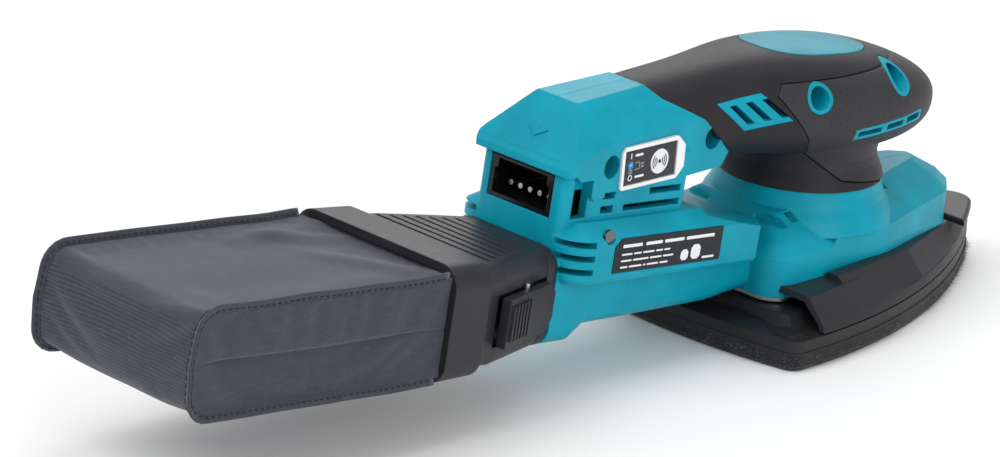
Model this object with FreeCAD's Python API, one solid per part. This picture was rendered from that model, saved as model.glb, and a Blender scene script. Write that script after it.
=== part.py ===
import FreeCAD, Part
import math
import os

# Cordless orbital sander with a delta pad and a clip-on cloth dust bag.
# X points forwards to the pad's tip, Y to the user's left, Z up.  The origin is the centre of the
# sanding face on the axis of the eccentric pin.  All sizes are in millimetres.

Vec = FreeCAD.Vector
X_AXIS = Vec(1, 0, 0)
Y_AXIS = Vec(0, 1, 0)
Z_AXIS = Vec(0, 0, 1)

# ---- driving dimensions ----
PAD_REAR_X = -54.0
PAD_HALF_WIDTH = 50.0
PAD_TIP_X = 89.5
PAD_SIDE_BOW = 13.7
PAD_REAR_BOW = 6.2
HOOK_TOP = 1.6
FOAM_TOP = 5.4
PLATE_TOP = 9.4
PLATEAU_TOP = 12.6

ECCENTRICITY = 1.0
MOTOR_X = -ECCENTRICITY
BASE_FLOOR = 14.6
BASE_WALL_TOP = 27.5
BASE_OUTLINE = [(-43.0, -30.0, 9.0), (12.0, -28.8, 45.0), (54.5, -16.5, 14.0), (65.5, -7.0, 5.0)]
WALL = 2.6

NECK_X = -2.0
COLLAR_TOP = 43.4

TILT = 5.2
TILT_PIVOT = Vec(-46, 0, 20)
REAR_FACE = -133.5
LOWER_HALF_WIDTH = 26.0
LOWER_FLOOR = 27.5
LOWER_TOP = 42.5
COLUMN_HALF_WIDTH = 17.5
COLUMN_FRONT = -78.0
PORT_CENTRE = 22.5
PORT_HALF_WIDTH = 15.0
PORT_HALF_HEIGHT = 9.5

NOZZLE_HALF_WIDTH = 21.0
NOZZLE_HALF_HEIGHT = 15.5
FRAME_REAR = -191.0
FRAME_FRONT = -175.0
FRAME_HALF_WIDTH = 34.0
BAG_END = -290.0
CLOTH = 1.2

BODY_SCREWS = [(-110.5, 67.2), (-64.5, 68.2), (-25.0, 76.5), (12.5, 77.0)]
SCREW_WELL = 3.6
SCREW_HEAD = 3.1
SCREW_SHANK = 1.5
BOSS_RADIUS = 5.2
BOSS_REACH = 15.0
COLLAR_SCREW = (-24.0, 37.0)
REAR_SCREW = (-118.5, 42.0)

DUST_HOLES = [(-40.0, 0.0), (-28.0, 28.0), (-28.0, -28.0), (12.0, 26.0), (12.0, -26.0), (50.0, 0.0)]
PAD_SCREWS = [(-11.0, 11.0), (-11.0, -11.0), (11.0, 11.0), (11.0, -11.0)]

SHAFT_RADIUS = 4.0
PIN_RADIUS = 4.0
MOTOR_ROOF = 69.0

SIDE_VENT = [(-63.5, 78.6), (-46.0, 80.0), (-35.0, 70.6), (-52.5, 69.0)]
NECK_VENT = [(-9.5, 64.6), (23.0, 66.2), (23.5, 62.4), (-9.0, 60.6)]

BASE_SCREWS = [(-35.5, 24.0), (-35.5, -24.0), (49.0, 12.0), (49.0, -12.0)]
ISOLATORS = [(-32.0, 13.0), (-32.0, -13.0), (37.0, 9.0), (37.0, -9.0)]

GRIP_SKIN = 2.6
PANEL_OUTLINE = [(-38.0, 82.0), (-40.5, 78.4), (-27.0, 62.5), (-25.6, 59.8), (-10.0, 46.6), (12.0, 43.2), (80.0, 43.2),
                 (80.0, 95.0), (29.5, 95.0), (28.5, 82.2), (22.0, 80.6)]
COLLAR_TAB = [(-24.0, COLLAR_TOP + 0.4), (-15.0, 40.4), (8.0, 40.4), (14.0, COLLAR_TOP + 0.4)]

LABEL = [(-116.0, 30.6), (-116.0, 38.6), (-113.6, 41.0), (-68.0, 41.0), (-68.0, 30.6)]

SWITCH_BOX = (-106.5, -78.8, 59.0, 72.4)
SWITCH_FACE = 18.6

LATCH_LENGTH = 31.0
LATCH_ANGLE = 17.5
LATCH_PIVOT = (-153.0, -26.2)
LATCH_LOW = 14.8
LATCH_HIGH = 29.8

# ---- small helpers ----
def put(name, shape):
    """Write one node's shape as a STEP file."""
    shape.exportStep("parts/%s.step" % name)


def box(x0, x1, y0, y1, z0, z1):
    return Part.makeBox(x1 - x0, y1 - y0, z1 - z0, Vec(x0, y0, z0))


def upright(radius, z0, z1, x=0.0, y=0.0):
    return Part.makeCylinder(radius, z1 - z0, Vec(x, y, z0), Z_AXIS)


def crossways(radius, y0, y1, x, z):
    return Part.makeCylinder(radius, y1 - y0, Vec(x, y0, z), Y_AXIS)


def lengthways(radius, x0, x1, y, z):
    return Part.makeCylinder(radius, x1 - x0, Vec(x0, y, z), X_AXIS)


def tilted(shape):
    """Turn a shape from the level rear frame into the pitched rear of the tool."""
    turned = shape.copy()
    turned.rotate(TILT_PIVOT, Y_AXIS, TILT)
    return turned


def mirrored(shape):
    return shape.mirror(Vec(0, 0, 0), Y_AXIS)


def union(shapes):
    joined = shapes[0].fuse(shapes[1:]) if len(shapes) > 1 else shapes[0]
    return joined.removeSplitter()


def both_sides(shape):
    return [shape, mirrored(shape)]


def round_edges(shape, radius, wanted):
    """Fillet the edges that the test picks, or return the shape as it was if that fails."""
    edges = [edge for edge in shape.Edges if wanted(edge)]
    if not edges:
        return shape
    try:
        rounded = shape.makeFillet(radius, edges)
    except Part.OCCError:
        return shape
    return rounded if rounded.isValid() else shape


def is_upright(edge):
    ends = [vertex.Point for vertex in edge.Vertexes]
    if len(ends) != 2:
        return False
    run = ends[1] - ends[0]
    return run.Length > 0.5 and abs(run.z) > 0.99 * run.Length


def side_prism(points, y0, y1):
    """Extrude a side-view outline of (x, z) points across the tool."""
    corners = [Vec(x, y0, z) for x, z in points]
    face = Part.Face(Part.makePolygon(corners + corners[:1]))
    return face.extrude(Vec(0, y1 - y0, 0))


def section_prism(points, x0, x1):
    """Extrude a rear-view outline of (y, z) points along the tool."""
    corners = [Vec(x0, y, z) for y, z in points]
    face = Part.Face(Part.makePolygon(corners + corners[:1]))
    return face.extrude(Vec(x1 - x0, 0, 0))


def inset_corners(corners, distance):
    """Move every side of a plan outline of (x, y, radius) corners inwards."""
    count = len(corners)
    moved = []
    for index in range(count):
        before = corners[index - 1]
        here = corners[index]
        after = corners[(index + 1) % count]
        first = Vec(here[0] - before[0], here[1] - before[1], 0).normalize()
        second = Vec(after[0] - here[0], after[1] - here[1], 0).normalize()
        bisector = Vec(-first.y - second.y, first.x + second.x, 0)
        reach = 2.0 * distance / (bisector.Length * bisector.Length)
        radius = max(here[2] - distance, 2.0)
        moved.append((here[0] + bisector.x * reach, here[1] + bisector.y * reach, radius))
    return moved


def plan_wire(corners, z):
    """A closed wire of straight runs joined by tangent arcs at (x, y, radius) corners."""
    count = len(corners)
    starts = []
    ends = []
    middles = []
    for index in range(count):
        before = Vec(corners[index - 1][0], corners[index - 1][1], z)
        here = Vec(corners[index][0], corners[index][1], z)
        after = Vec(corners[(index + 1) % count][0], corners[(index + 1) % count][1], z)
        radius = corners[index][2]
        towards = (before - here).normalize()
        onwards = (after - here).normalize()
        half = towards.getAngle(onwards) / 2.0
        length = radius / math.tan(half)
        centre = here + (towards + onwards).normalize() * (radius / math.sin(half))
        starts.append(here + towards * length)
        ends.append(here + onwards * length)
        middles.append(centre + (here - centre).normalize() * radius)
    edges = []
    for index in range(count):
        edges.append(Part.Arc(starts[index], middles[index], ends[index]).toShape())
        edges.append(Part.LineSegment(ends[index], starts[(index + 1) % count]).toShape())
    return Part.Wire(edges)


def full_outline(half):
    """Close a half outline on the right-hand side (Y below zero) with its mirror image."""
    left = [(x, -y, radius) for x, y, radius in reversed(half)]
    return half + left


def oval_section(x, half_width, low, high, widest, power=2.35, count=24):
    """A closed smooth section across the tool: a superellipse with a chosen widest height."""
    points = []
    for index in range(count):
        angle = 2.0 * math.pi * index / count
        side = math.copysign(abs(math.cos(angle)) ** (2.0 / power), math.cos(angle))
        rise = math.copysign(abs(math.sin(angle)) ** (2.0 / power), math.sin(angle))
        height = (high - widest) if rise > 0 else (widest - low)
        points.append(Vec(x, half_width * side, widest + height * rise))
    curve = Part.BSplineCurve()
    curve.interpolate(points, PeriodicFlag=True)
    return Part.Wire(curve.toShape())


def rounded_tube_section(x, half_width, low, high, radius):
    """A rounded rectangle across the tool at one X, as a wire."""
    corners = [(-half_width, low), (half_width, low), (half_width, high), (-half_width, high)]
    signs = [(1, 1), (-1, 1), (-1, -1), (1, -1)]
    edges = []
    previous = None
    first = None
    for (y, z), (sy, sz) in zip(corners, signs):
        centre = Vec(x, y + sy * radius, z + sz * radius)
        one = Vec(x, y, centre.z)
        two = Vec(x, centre.y, z)
        start, stop = (one, two) if sy * sz > 0 else (two, one)
        outward = Vec(0, -sy, -sz).normalize()
        middle = centre + outward * radius
        if previous is not None:
            edges.append(Part.LineSegment(previous, start).toShape())
        edges.append(Part.Arc(start, middle, stop).toShape())
        first = first or start
        previous = stop
    edges.append(Part.LineSegment(previous, first).toShape())
    return Part.Wire(edges)


def tube_loft(stations, ruled=True):
    """Loft rounded rectangles: stations are (x, half_width, low, high, radius)."""
    wires = [rounded_tube_section(*station) for station in stations]
    return Part.makeLoft(wires, True, ruled)


# ---- sanding pad ----
def pad_face(inset, z):
    """The delta outline: two bowed sides and a bowed rear edge, moved inwards by the inset."""
    right = Vec(PAD_REAR_X, -PAD_HALF_WIDTH, z)
    left = Vec(PAD_REAR_X, PAD_HALF_WIDTH, z)
    tip = Vec(PAD_TIP_X, 0, z)
    edges = []
    for start, stop, bow in ((right, tip, PAD_SIDE_BOW), (tip, left, PAD_SIDE_BOW), (left, right, PAD_REAR_BOW)):
        run = stop - start
        outward = Vec(run.y, -run.x, 0).normalize()
        middle = (start + stop) * 0.5 + outward * bow
        edges.append(Part.Arc(start, middle, stop).toShape())
    face = Part.Face(Part.Wire(edges))
    return face.makeOffset2D(-inset) if inset > 0 else face


def pad_slab(inset, z0, z1, corner=5.0, tip=9.0):
    slab = pad_face(inset, z0).extrude(Vec(0, 0, z1 - z0))
    slab = round_edges(slab, corner, lambda e: is_upright(e) and e.CenterOfMass.x < 0)
    return round_edges(slab, tip, lambda e: is_upright(e) and e.CenterOfMass.x > 40)


def drill(shape, places, radius, z0, z1):
    for x, y in places:
        shape = shape.cut(upright(radius, z0, z1, x, y))
    return shape


def build_pad():
    hook = drill(pad_slab(0.6, 0.0, HOOK_TOP), DUST_HOLES, 4.0, -1, 3)
    put("hook_face", hook)
    foam = drill(pad_slab(0.0, HOOK_TOP, FOAM_TOP), DUST_HOLES, 4.0, 0, 7)
    put("pad_foam", foam)
    plate = pad_slab(0.4, FOAM_TOP, PLATE_TOP)
    low = pad_face(9.5, PLATE_TOP - 0.2).OuterWire
    high = pad_face(13.5, PLATEAU_TOP).OuterWire
    plateau = Part.makeLoft([low, high], True, True)
    plateau = plateau.cut(box(-90, -47.5, -80, 80, 0, 30))
    hub = upright(19.0, PLATEAU_TOP - 0.5, PLATEAU_TOP + 1.0)
    plate = union([plate, plateau, hub])
    plate = drill(plate, DUST_HOLES, 4.5, 0, 20)
    plate = plate.cut(upright(11.0, 0, 20))
    plate = drill(plate, PAD_SCREWS, 1.7, 0, 20)
    plate = drill(plate, PAD_SCREWS, 3.2, 0, PLATE_TOP - 1.5)
    for side in (-1, 1):
        rib = box(-52.5, -46.0, side * 42 - 3.5, side * 42 + 3.5, PLATE_TOP - 0.2, PLATE_TOP + 0.5)
        plate = plate.fuse(rib)
    put("pad_plate", plate.removeSplitter())
    carrier = upright(16.5, PLATEAU_TOP + 1.0, PLATEAU_TOP + 8.5)
    carrier = carrier.cut(upright(9.5, PLATEAU_TOP + 1.5, PLATEAU_TOP + 9))
    carrier = carrier.cut(upright(7.0, 0, 40))
    carrier = drill(carrier, PAD_SCREWS, 1.5, 0, 40)
    put("bearing_carrier", carrier)
    screws = []
    for x, y in PAD_SCREWS:
        head = upright(3.0, PLATE_TOP - 3.3, PLATE_TOP - 1.5, x, y)
        screws.append(head.fuse(upright(1.5, PLATE_TOP - 1.6, PLATEAU_TOP + 6.0, x, y)).removeSplitter())
    put("pad_screws", Part.makeCompound(screws))
    race = upright(9.5, PLATEAU_TOP + 1.5, PLATEAU_TOP + 8.0).cut(upright(7.9, 0, 40))
    put("pad_bearing_race", race)


# ---- motor and drive ----


def build_drive():
    shaft = upright(SHAFT_RADIUS, 25.0, MOTOR_ROOF + 3.0, MOTOR_X)
    put("motor_shaft", shaft)
    core = upright(10.5, 42.0, 62.0, MOTOR_X).cut(upright(SHAFT_RADIUS, 0, 90, MOTOR_X))
    put("rotor_core", core)
    magnets = []
    for index in range(4):
        arc = upright(12.3, 42.5, 61.5, MOTOR_X).cut(upright(10.5, 40, 63, MOTOR_X))
        wedge = box(2.0, 20, 2.0, 20, 40, 63)
        wedge.rotate(Vec(0, 0, 0), Z_AXIS, 90.0 * index)
        wedge.translate(Vec(MOTOR_X, 0, 0))
        magnets.append(arc.common(wedge))
    put("rotor_magnets", Part.makeCompound(magnets))
    hub = upright(8.0, 22.5, 29.0, MOTOR_X).cut(upright(SHAFT_RADIUS, 25.0, 30, MOTOR_X))
    hub = hub.fuse(upright(PIN_RADIUS, PLATEAU_TOP + 1.6, 22.6)).removeSplitter()
    put("eccentric_hub", hub)
    inner = upright(5.9, PLATEAU_TOP + 1.6, PLATEAU_TOP + 8.0).cut(upright(PIN_RADIUS, 0, 40))
    put("pin_bearing_race", inner)
    balls = []
    for index in range(8):
        angle = math.radians(45.0 * index)
        centre = Vec(6.9 * math.cos(angle), 6.9 * math.sin(angle), PLATEAU_TOP + 4.8)
        balls.append(Part.makeSphere(0.95, centre))
    put("pin_bearing_balls", Part.makeCompound(balls))
    weight = upright(19.0, 23.0, 28.0, MOTOR_X).cut(upright(8.0, 20, 30, MOTOR_X))
    weight = weight.common(box(-40, MOTOR_X - 3.0, -40, 40, 20, 30))
    put("counterweight", weight)
    disc = upright(23.0, 29.0, 30.4, MOTOR_X)
    blades = []
    for index in range(12):
        blade = box(9.5, 22.5, -0.7, 0.7, 30.3, 34.6)
        blade.rotate(Vec(0, 0, 0), Z_AXIS, 30.0 * index)
        blade.translate(Vec(MOTOR_X, 0, 0))
        blades.append(blade)
    fan = union([disc] + blades).cut(upright(SHAFT_RADIUS, 20, 40, MOTOR_X))
    put("dust_fan", fan)


def build_stator():
    ring = upright(19.0, 43.0, 61.0, MOTOR_X).cut(upright(16.8, 40, 63, MOTOR_X))
    teeth = [ring]
    for index in range(6):
        tooth = box(12.9, 17.2, -3.2, 3.2, 43.0, 61.0)
        tooth.rotate(Vec(0, 0, 0), Z_AXIS, 60.0 * index)
        tooth.translate(Vec(MOTOR_X, 0, 0))
        teeth.append(tooth)
    put("stator_core", union(teeth))
    coils = []
    for index in range(6):
        loop = box(13.3, 15.9, -5.0, 5.0, 40.5, 63.5).cut(box(12, 18, -3.3, 3.3, 42.9, 61.1))
        loop.rotate(Vec(0, 0, 0), Z_AXIS, 60.0 * index)
        loop.translate(Vec(MOTOR_X, 0, 0))
        coils.append(loop)
    put("stator_coils", Part.makeCompound(coils))
    for name, low, high in (("lower_bearing", 35.2, 39.2), ("upper_bearing", 66.0, 70.0)):
        ring = upright(9.0, low, high, MOTOR_X).cut(upright(SHAFT_RADIUS + 0.05, 0, 90, MOTOR_X))
        put(name, ring)
    plate = upright(19.9, 36.0, 39.2, MOTOR_X).cut(upright(9.0, 30, 50, MOTOR_X))
    put("bearing_plate", plate)


# ---- housing ----
def base_block(wall_top, shoulder_rise, deck_top):
    """The teal base: a vertical wall, a narrow shoulder and a deck that rises to the neck."""
    outline = full_outline(BASE_OUTLINE)
    levels = [(0.0, BASE_FLOOR), (0.0, wall_top), (4.0, wall_top + shoulder_rise), (13.0, deck_top)]
    wires = [plan_wire(inset_corners(outline, inset), z) for inset, z in levels]
    return Part.makeLoft(wires, True, True)


def neck_collar():
    profile = [(0, 30), (31.5, 30), (29.8, 34.5), (28.0, 37.5), (26.9, 40.5), (26.4, COLLAR_TOP), (0, COLLAR_TOP)]
    points = [Vec(r, 0, z) for r, z in profile]
    face = Part.Face(Part.makePolygon(points + points[:1]))
    collar = face.revolve(Vec(0, 0, 0), Z_AXIS, 360)
    collar.translate(Vec(NECK_X, 0, 0))
    return collar


def outer_head(shrink):
    """The palm grip and handle: one smooth body, drawn smaller by the given skin thickness."""
    stations = [
        (-101.0, 15.2, 58.0, 85.6, 70.0),
        (-88.0, 15.8, 58.0, 86.4, 70.5),
        (-72.0, 16.6, 58.0, 87.2, 71.0),
        (-54.0, 18.6, 57.5, 88.0, 71.0),
        (-36.0, 23.0, 55.5, 88.6, 70.5),
        (-16.0, 27.6, 52.5, 87.6, 69.5),
        (4.0, 29.2, 51.0, 85.0, 68.0),
        (21.0, 27.2, 51.5, 81.6, 67.0),
        (33.0, 22.4, 53.5, 77.4, 66.2),
        (40.5, 16.0, 56.5, 73.2, 65.6),
        (44.2, 9.0, 60.5, 69.8, 65.2),
    ]
    wires = []
    for x, half, low, high, widest in stations:
        shift = shrink * max(0.0, (x + 10.0) / 55.0)
        inner = max(half - shrink, 2.0)
        wires.append(oval_section(x - shift, inner, low + shrink, high - shrink, widest))
    return Part.makeLoft(wires, True, False)


def outer_neck(radius_change, low):
    profile = [(0, low), (25.5, low), (25.4, 44.0), (24.2, 48.0), (23.7, 52.0), (24.6, 56.0), (25.2, 62.0), (0, 62.0)]
    points = [Vec(max(r + radius_change, 0) if r else 0, 0, z) for r, z in profile]
    face = Part.Face(Part.makePolygon(points + points[:1]))
    neck = face.revolve(Vec(0, 0, 0), Z_AXIS, 360)
    neck.translate(Vec(NECK_X, 0, 0))
    return neck


def roof():
    """The gabled rear roof of the handle with its overhanging rear lip."""
    profile = [(-131.2, 67.4), (-130.6, 69.3), (-117.5, 85.6), (-88, 86.4), (-58, 87.8), (-52, 58.5), (-78, 58.0),
               (-118, 58.0), (-127, 67.4)]
    side = side_prism(profile, -30, 30)
    half = [(0, 58), (20.5, 58), (20.5, 71.0), (19.0, 73.2), (9.0, 85.0), (4.5, 88.5), (0, 88.5)]
    gable = section_prism(half + [(-y, z) for y, z in reversed(half[1:-1])], -135, -50)
    plan = [(-131.5, -20.3, 2.5), (-109, -17.9, 30.0), (-52, -16.6, 3.0)]
    outline = Part.Face(plan_wire(full_outline(plan), 50)).extrude(Vec(0, 0, 45))
    body = side.common(gable).common(outline).removeSplitter()
    return round_edges(body, 1.0, lambda e: e.CenterOfMass.z > 69)


def rear_column():
    """The column between the handle and the lower body, in the level rear frame."""
    outline = [(REAR_FACE, -COLUMN_HALF_WIDTH, 3.0), (COLUMN_FRONT, -COLUMN_HALF_WIDTH, 2.0)]
    column = Part.Face(plan_wire(full_outline(outline), LOWER_FLOOR)).extrude(Vec(0, 0, 36))
    return column


def lower_body():
    """The wide lower body that carries the label, in the level rear frame."""
    outline = [(REAR_FACE, -LOWER_HALF_WIDTH, 9.0), (-50.0, -LOWER_HALF_WIDTH, 3.0), (-40.0, -16.0, 3.0)]
    levels = [(0.8, LOWER_FLOOR), (0.0, LOWER_FLOOR + 1.2), (0.0, LOWER_TOP - 1.6), (6.5, LOWER_TOP + 2.6)]
    corners = full_outline(outline)
    wires = [plan_wire(inset_corners(corners, inset), z) for inset, z in levels]
    body = Part.makeLoft(wires, True, True)
    slope = side_prism([(-72, 60), (-72, LOWER_TOP + 1.0), (-44, LOWER_TOP - 4.5), (-30, LOWER_TOP - 6), (-30, 60)], -40, 40)
    return body.cut(slope)


def dust_duct():
    """The duct under the lower body, from the base to the port at the rear."""
    return tube_loft([(REAR_FACE, 19.0, 10.5, 34.0, 6.0), (-100.0, 20.0, 11.5, 34.0, 6.5),
                      (-60.0, 19.5, 12.5, 34.0, 6.5), (-40.0, 18.5, 15.5, 34.0, 5.0)])


def port_flange():
    flange = tube_loft([(REAR_FACE, 20.0, 6.8, 37.5, 6.0), (-123.0, 20.0, 6.8, 37.5, 6.0), (-114.0, 19.0, 12.0, 36.0, 6.0)])
    return flange


def port_spigot(grow):
    half = PORT_HALF_WIDTH + 2.0 + grow
    high = PORT_HALF_HEIGHT + 2.0 + grow
    return tube_loft([(-148.0, half, PORT_CENTRE - high, PORT_CENTRE + high, 4.0),
                      (REAR_FACE + 4, half, PORT_CENTRE - high, PORT_CENTRE + high, 4.0)])


def port_bore():
    low = PORT_CENTRE - PORT_HALF_HEIGHT
    high = PORT_CENTRE + PORT_HALF_HEIGHT
    return tube_loft([(-150.0, PORT_HALF_WIDTH, low, high, 3.0), (-40.0, PORT_HALF_WIDTH, low, high, 3.0)])


def slot(x0, x1, z0, z1, y0=-30.0, y1=-10.0):
    return box(x0, x1, y0, y1, z0, z1)


def vent_cuts():
    """Every air slot on one side of the housing."""
    cuts = []
    for low, x0, x1 in ((46.6, -106.0, -81.0), (51.0, -95.0, -81.0)):
        cuts.append(tilted(slot(x0, x1, low, low + 2.0, -30, -12)))
    for low in (46.6, 51.0):
        cuts.append(tilted(slot(-116.0, -110.5, low, low + 2.2, -30, -12)))
    for low in (30.6, 34.8, 39.0):
        cuts.append(tilted(slot(-140.0, -124.5, low, low + 1.9, -30, -16.5)))
    for index in range(3):
        hole = box(-1.7, 1.7, -40, -10, -1.2, 1.2)
        hole.rotate(Vec(0, 0, 0), Z_AXIS, 12)
        hole.translate(Vec(-42.0 + 6.2 * index, 0, 34.6 + 0.75 * index))
        cuts.append(hole)
    dark_slot = box(20.0, 23.5, -20, -8, 36.0, 42.5)
    cuts.append(dark_slot)
    return cuts


def grip_cut_outline():
    """Side-view outline of everything forward of the teal handle's joint line."""
    curve = [(-90, 95), (-88, 86.5), (-84, 82.5), (-74, 77.5), (-68.5, 74.5), (-62, 68.0), (-56.5, 62.5), (-58.5, 59.5),
             (-62, 55.0)]
    return curve + [(-50, 48), (-50, 30), (80, 30), (80, 95)]


def skin_region():
    return side_prism(grip_cut_outline(), -60, 60)


def trim_region(points, grow=0.0):
    """A patch of the grip's side where the housing shows through its skin, on both sides."""
    patch = side_prism(points, -45, -8)
    if grow > 0:
        face = Part.Face(Part.makePolygon([Vec(x, -45, z) for x, z in points + points[:1]]))
        patch = face.makeOffset2D(grow, 2).extrude(Vec(0, 37, 0))
    return patch.fuse(mirrored(patch))


def boss_regions(radius):
    """Cylinders about the screws whose rims stand through the grip's skin."""
    places = BODY_SCREWS[2:]
    return [crossways(radius, -45, 45, x, z) for x, z in places]


def skin_cut_slots():
    """The three slanted slots and the row of three small slots on one side of the grip."""
    cuts = []
    for index in range(3):
        x = -58.6 + 6.2 * index
        cuts.append(side_prism([(x, 77.3 + 0.4 * index), (x + 2.7, 77.5 + 0.4 * index), (x + 9.8, 71.1 + 0.5 * index),
                                (x + 7.1, 70.9 + 0.5 * index)], -45, -10))
    for index, (start, stop) in enumerate(((-8.0, 2.2), (4.6, 12.6), (14.6, 21.8))):
        cuts.append(side_prism([(start, 63.6 + 0.7 * index), (stop, 64.0 + 0.7 * index), (stop, 62.3 + 0.5 * index),
                                (start, 61.9 + 0.5 * index)], -45, -22))
    return cuts


def cavities():
    """The hollow inside of the housing, from the motor well to the dust port."""
    inner = inset_corners(full_outline(BASE_OUTLINE), WALL)
    base = Part.Face(plan_wire(inner, BASE_FLOOR - 1)).extrude(Vec(0, 0, 11.0))
    motor = upright(20.0, 36.0, 72.0, MOTOR_X)
    fan = upright(25.0, BASE_FLOOR - 1, 36.5, MOTOR_X)
    handle = box(-118, -12, -11.5, 11.5, 61.4, 78.0)
    column = tilted(box(REAR_FACE + 3, COLUMN_FRONT - 3, -14.5, 14.5, 34.0, 54.0))
    lower = tilted(box(REAR_FACE + 10, -66, -23.0, 23.0, 36.0, LOWER_TOP - 1.0))
    socket = tilted(box(REAR_FACE - 2, -116.0, -13.2, 13.2, 45.5, 58.9))
    port = tilted(port_bore())
    return [base, motor, fan, handle, column, lower, socket, port]


def housing_blocks():
    """Every outer block of the housing before it is hollowed."""
    skin = skin_region()
    raised = side_prism([(-17, 0), (-17, 27), (-9, 36), (-5, 50), (90, 50), (90, 0)], -60, 60)
    outer = outer_head(0.0)
    trims = [outer.common(trim_region(SIDE_VENT)), outer.common(trim_region(NECK_VENT))]
    rims = [outer.common(region) for region in boss_regions(4.8)]
    blocks = [
        base_block(BASE_WALL_TOP, 3.6, 37.6), base_block(BASE_WALL_TOP + 2.4, 3.6, 38.6).common(raised), neck_collar(),
        outer_neck(-2.6, 38.0), outer_head(2.6), outer.cut(skin), roof().cut(skin), tilted(rear_column()),
        tilted(lower_body()), tilted(dust_duct()), tilted(port_flange()), tilted(port_spigot(-0.3)),
    ]
    return blocks + trims + rims


def corner_recess():
    """The tall groove down the rear corner of the column."""
    groove = box(-129.0, -122.5, -21, -14.5, LOWER_TOP + 3.5, 58.0)
    return tilted(groove)


def base_posts():
    return [upright(3.6, BASE_FLOOR, 27.0, x, y) for x, y in BASE_SCREWS]


def build_housing():
    shell = union(housing_blocks())
    for cavity in cavities():
        shell = shell.cut(cavity)
    handle_bosses = [crossways(BOSS_RADIUS, -BOSS_REACH, BOSS_REACH, x, z) for x, z in BODY_SCREWS[:2]]
    shell = union([shell] + handle_bosses + base_posts())
    cuts = [tilted(label_pocket()), tilted(socket_mouth()), switch_pocket()]
    for cut in vent_cuts() + skin_cut_slots() + [corner_recess()]:
        cuts += both_sides(cut)
    cuts += [upright(1.2, BASE_FLOOR - 1, 24.0, x, y) for x, y in BASE_SCREWS]
    cuts += both_sides(crossways(3.4, -40, -24.0, COLLAR_SCREW[0], COLLAR_SCREW[1]))
    rear_hole = tilted(crossways(2.4, -30, -24.0, REAR_SCREW[0], REAR_SCREW[1]))
    cuts += both_sides(rear_hole)
    for cut in cuts:
        shell = shell.cut(cut)
    halves = {"housing_right": box(-200, 120, -80, 0, 0, 120), "housing_left": box(-200, 120, 0, 80, 0, 120)}
    for name, half in halves.items():
        body = shell.common(half)
        for x, z in BODY_SCREWS:
            if name == "housing_right":
                body = body.cut(crossways(SCREW_WELL, -40, -7.0, x, z)).cut(crossways(1.9, -8, 1, x, z))
            else:
                body = body.cut(crossways(SCREW_SHANK, -1, 9.0, x, z)).cut(crossways(SCREW_WELL, 10.5, 40.0, x, z))
        put(name, body)


def build_fasteners():
    screws = []
    for x, z in BODY_SCREWS:
        head = crossways(SCREW_HEAD, -9.4, -7.0, x, z).cut(crossways(1.3, -10, -8.2, x, z))
        screws.append(head.fuse(crossways(SCREW_SHANK, -7.1, 8.0, x, z)).removeSplitter())
    put("housing_screws", Part.makeCompound(screws))
    rear = []
    for side in (-1, 1):
        pan = crossways(2.0, min(side * 25.4, side * 24.1), max(side * 25.4, side * 24.1), REAR_SCREW[0], REAR_SCREW[1])
        rear.append(tilted(pan))
    put("rear_screws", Part.makeCompound(rear))
    base = []
    for x, y in BASE_SCREWS:
        head = upright(2.6, 13.3, 14.2, x, y)
        base.append(head.fuse(upright(1.2, 14.1, 22.0, x, y)).removeSplitter())
    put("base_screws", Part.makeCompound(base))


# ---- grip ----
def neck_skin():
    profile = [(22.9, COLLAR_TOP), (26.9, COLLAR_TOP), (26.3, 45.6), (24.7, 49.0), (24.0, 52.0), (24.6, 56.0), (25.2, 62.0),
               (0, 62.0), (0, COLLAR_TOP)]
    points = [Vec(r, 0, z) for r, z in profile]
    face = Part.Face(Part.makePolygon(points + points[:1]))
    neck = face.revolve(Vec(0, 0, 0), Z_AXIS, 360)
    neck.translate(Vec(NECK_X, 0, 0))
    return neck


def collar_tabs():
    """The pointed tabs of the skin that hang over the collar at each side."""
    ring = neck_collar()
    grown = ring.makeOffsetShape(0.9, 0.01)
    tab = grown.cut(ring).common(side_prism(COLLAR_TAB, -40, -10)).common(box(-40, 40, -40, 40, 40.0, COLLAR_TOP + 0.5))
    return both_sides(tab)


def badge_oval(shrink):
    """The superellipse plan of the badge on top of the grip."""
    points = []
    for index in range(32):
        angle = 2.0 * math.pi * index / 32
        along = math.copysign(abs(math.cos(angle)) ** 0.8, math.cos(angle))
        across = math.copysign(abs(math.sin(angle)) ** 0.8, math.sin(angle))
        points.append(Vec(-7.5 + (24.0 - shrink) * along, (14.0 - shrink) * across, 70))
    curve = Part.BSplineCurve()
    curve.interpolate(points, PeriodicFlag=True)
    return Part.Face(Part.Wire(curve.toShape())).extrude(Vec(0, 0, 30))


def build_grip():
    core = union([outer_head(GRIP_SKIN), outer_neck(-GRIP_SKIN, 38.0)])
    skin = union([outer_head(0.0), neck_skin()]).common(skin_region()).cut(core).cut(neck_collar())
    for cut in [trim_region(SIDE_VENT, 0.15), trim_region(NECK_VENT, 0.15)] + boss_regions(4.9):
        skin = skin.cut(cut)
    skin = skin.cut(badge_oval(0.0).common(outer_head(-1.0)).cut(outer_head(1.5)))
    face = Part.Face(Part.makePolygon([Vec(x, -60, z) for x, z in PANEL_OUTLINE + PANEL_OUTLINE[:1]]))
    region = face.extrude(Vec(0, 120, 0))
    smaller = face.makeOffset2D(-0.45).extrude(Vec(0, 120, 0))
    put("grip_top", skin.cut(region))
    panel = skin.common(smaller)
    put("grip_panel_right", panel.common(box(-100, 100, -60, -0.1, 30, 100)))
    put("grip_panel_left", panel.common(box(-100, 100, 0.1, 60, 30, 100)))
    badge = outer_head(-0.2).cut(outer_head(1.4)).common(badge_oval(0.25))
    put("top_badge", badge)


# ---- fittings on the housing ----


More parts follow.
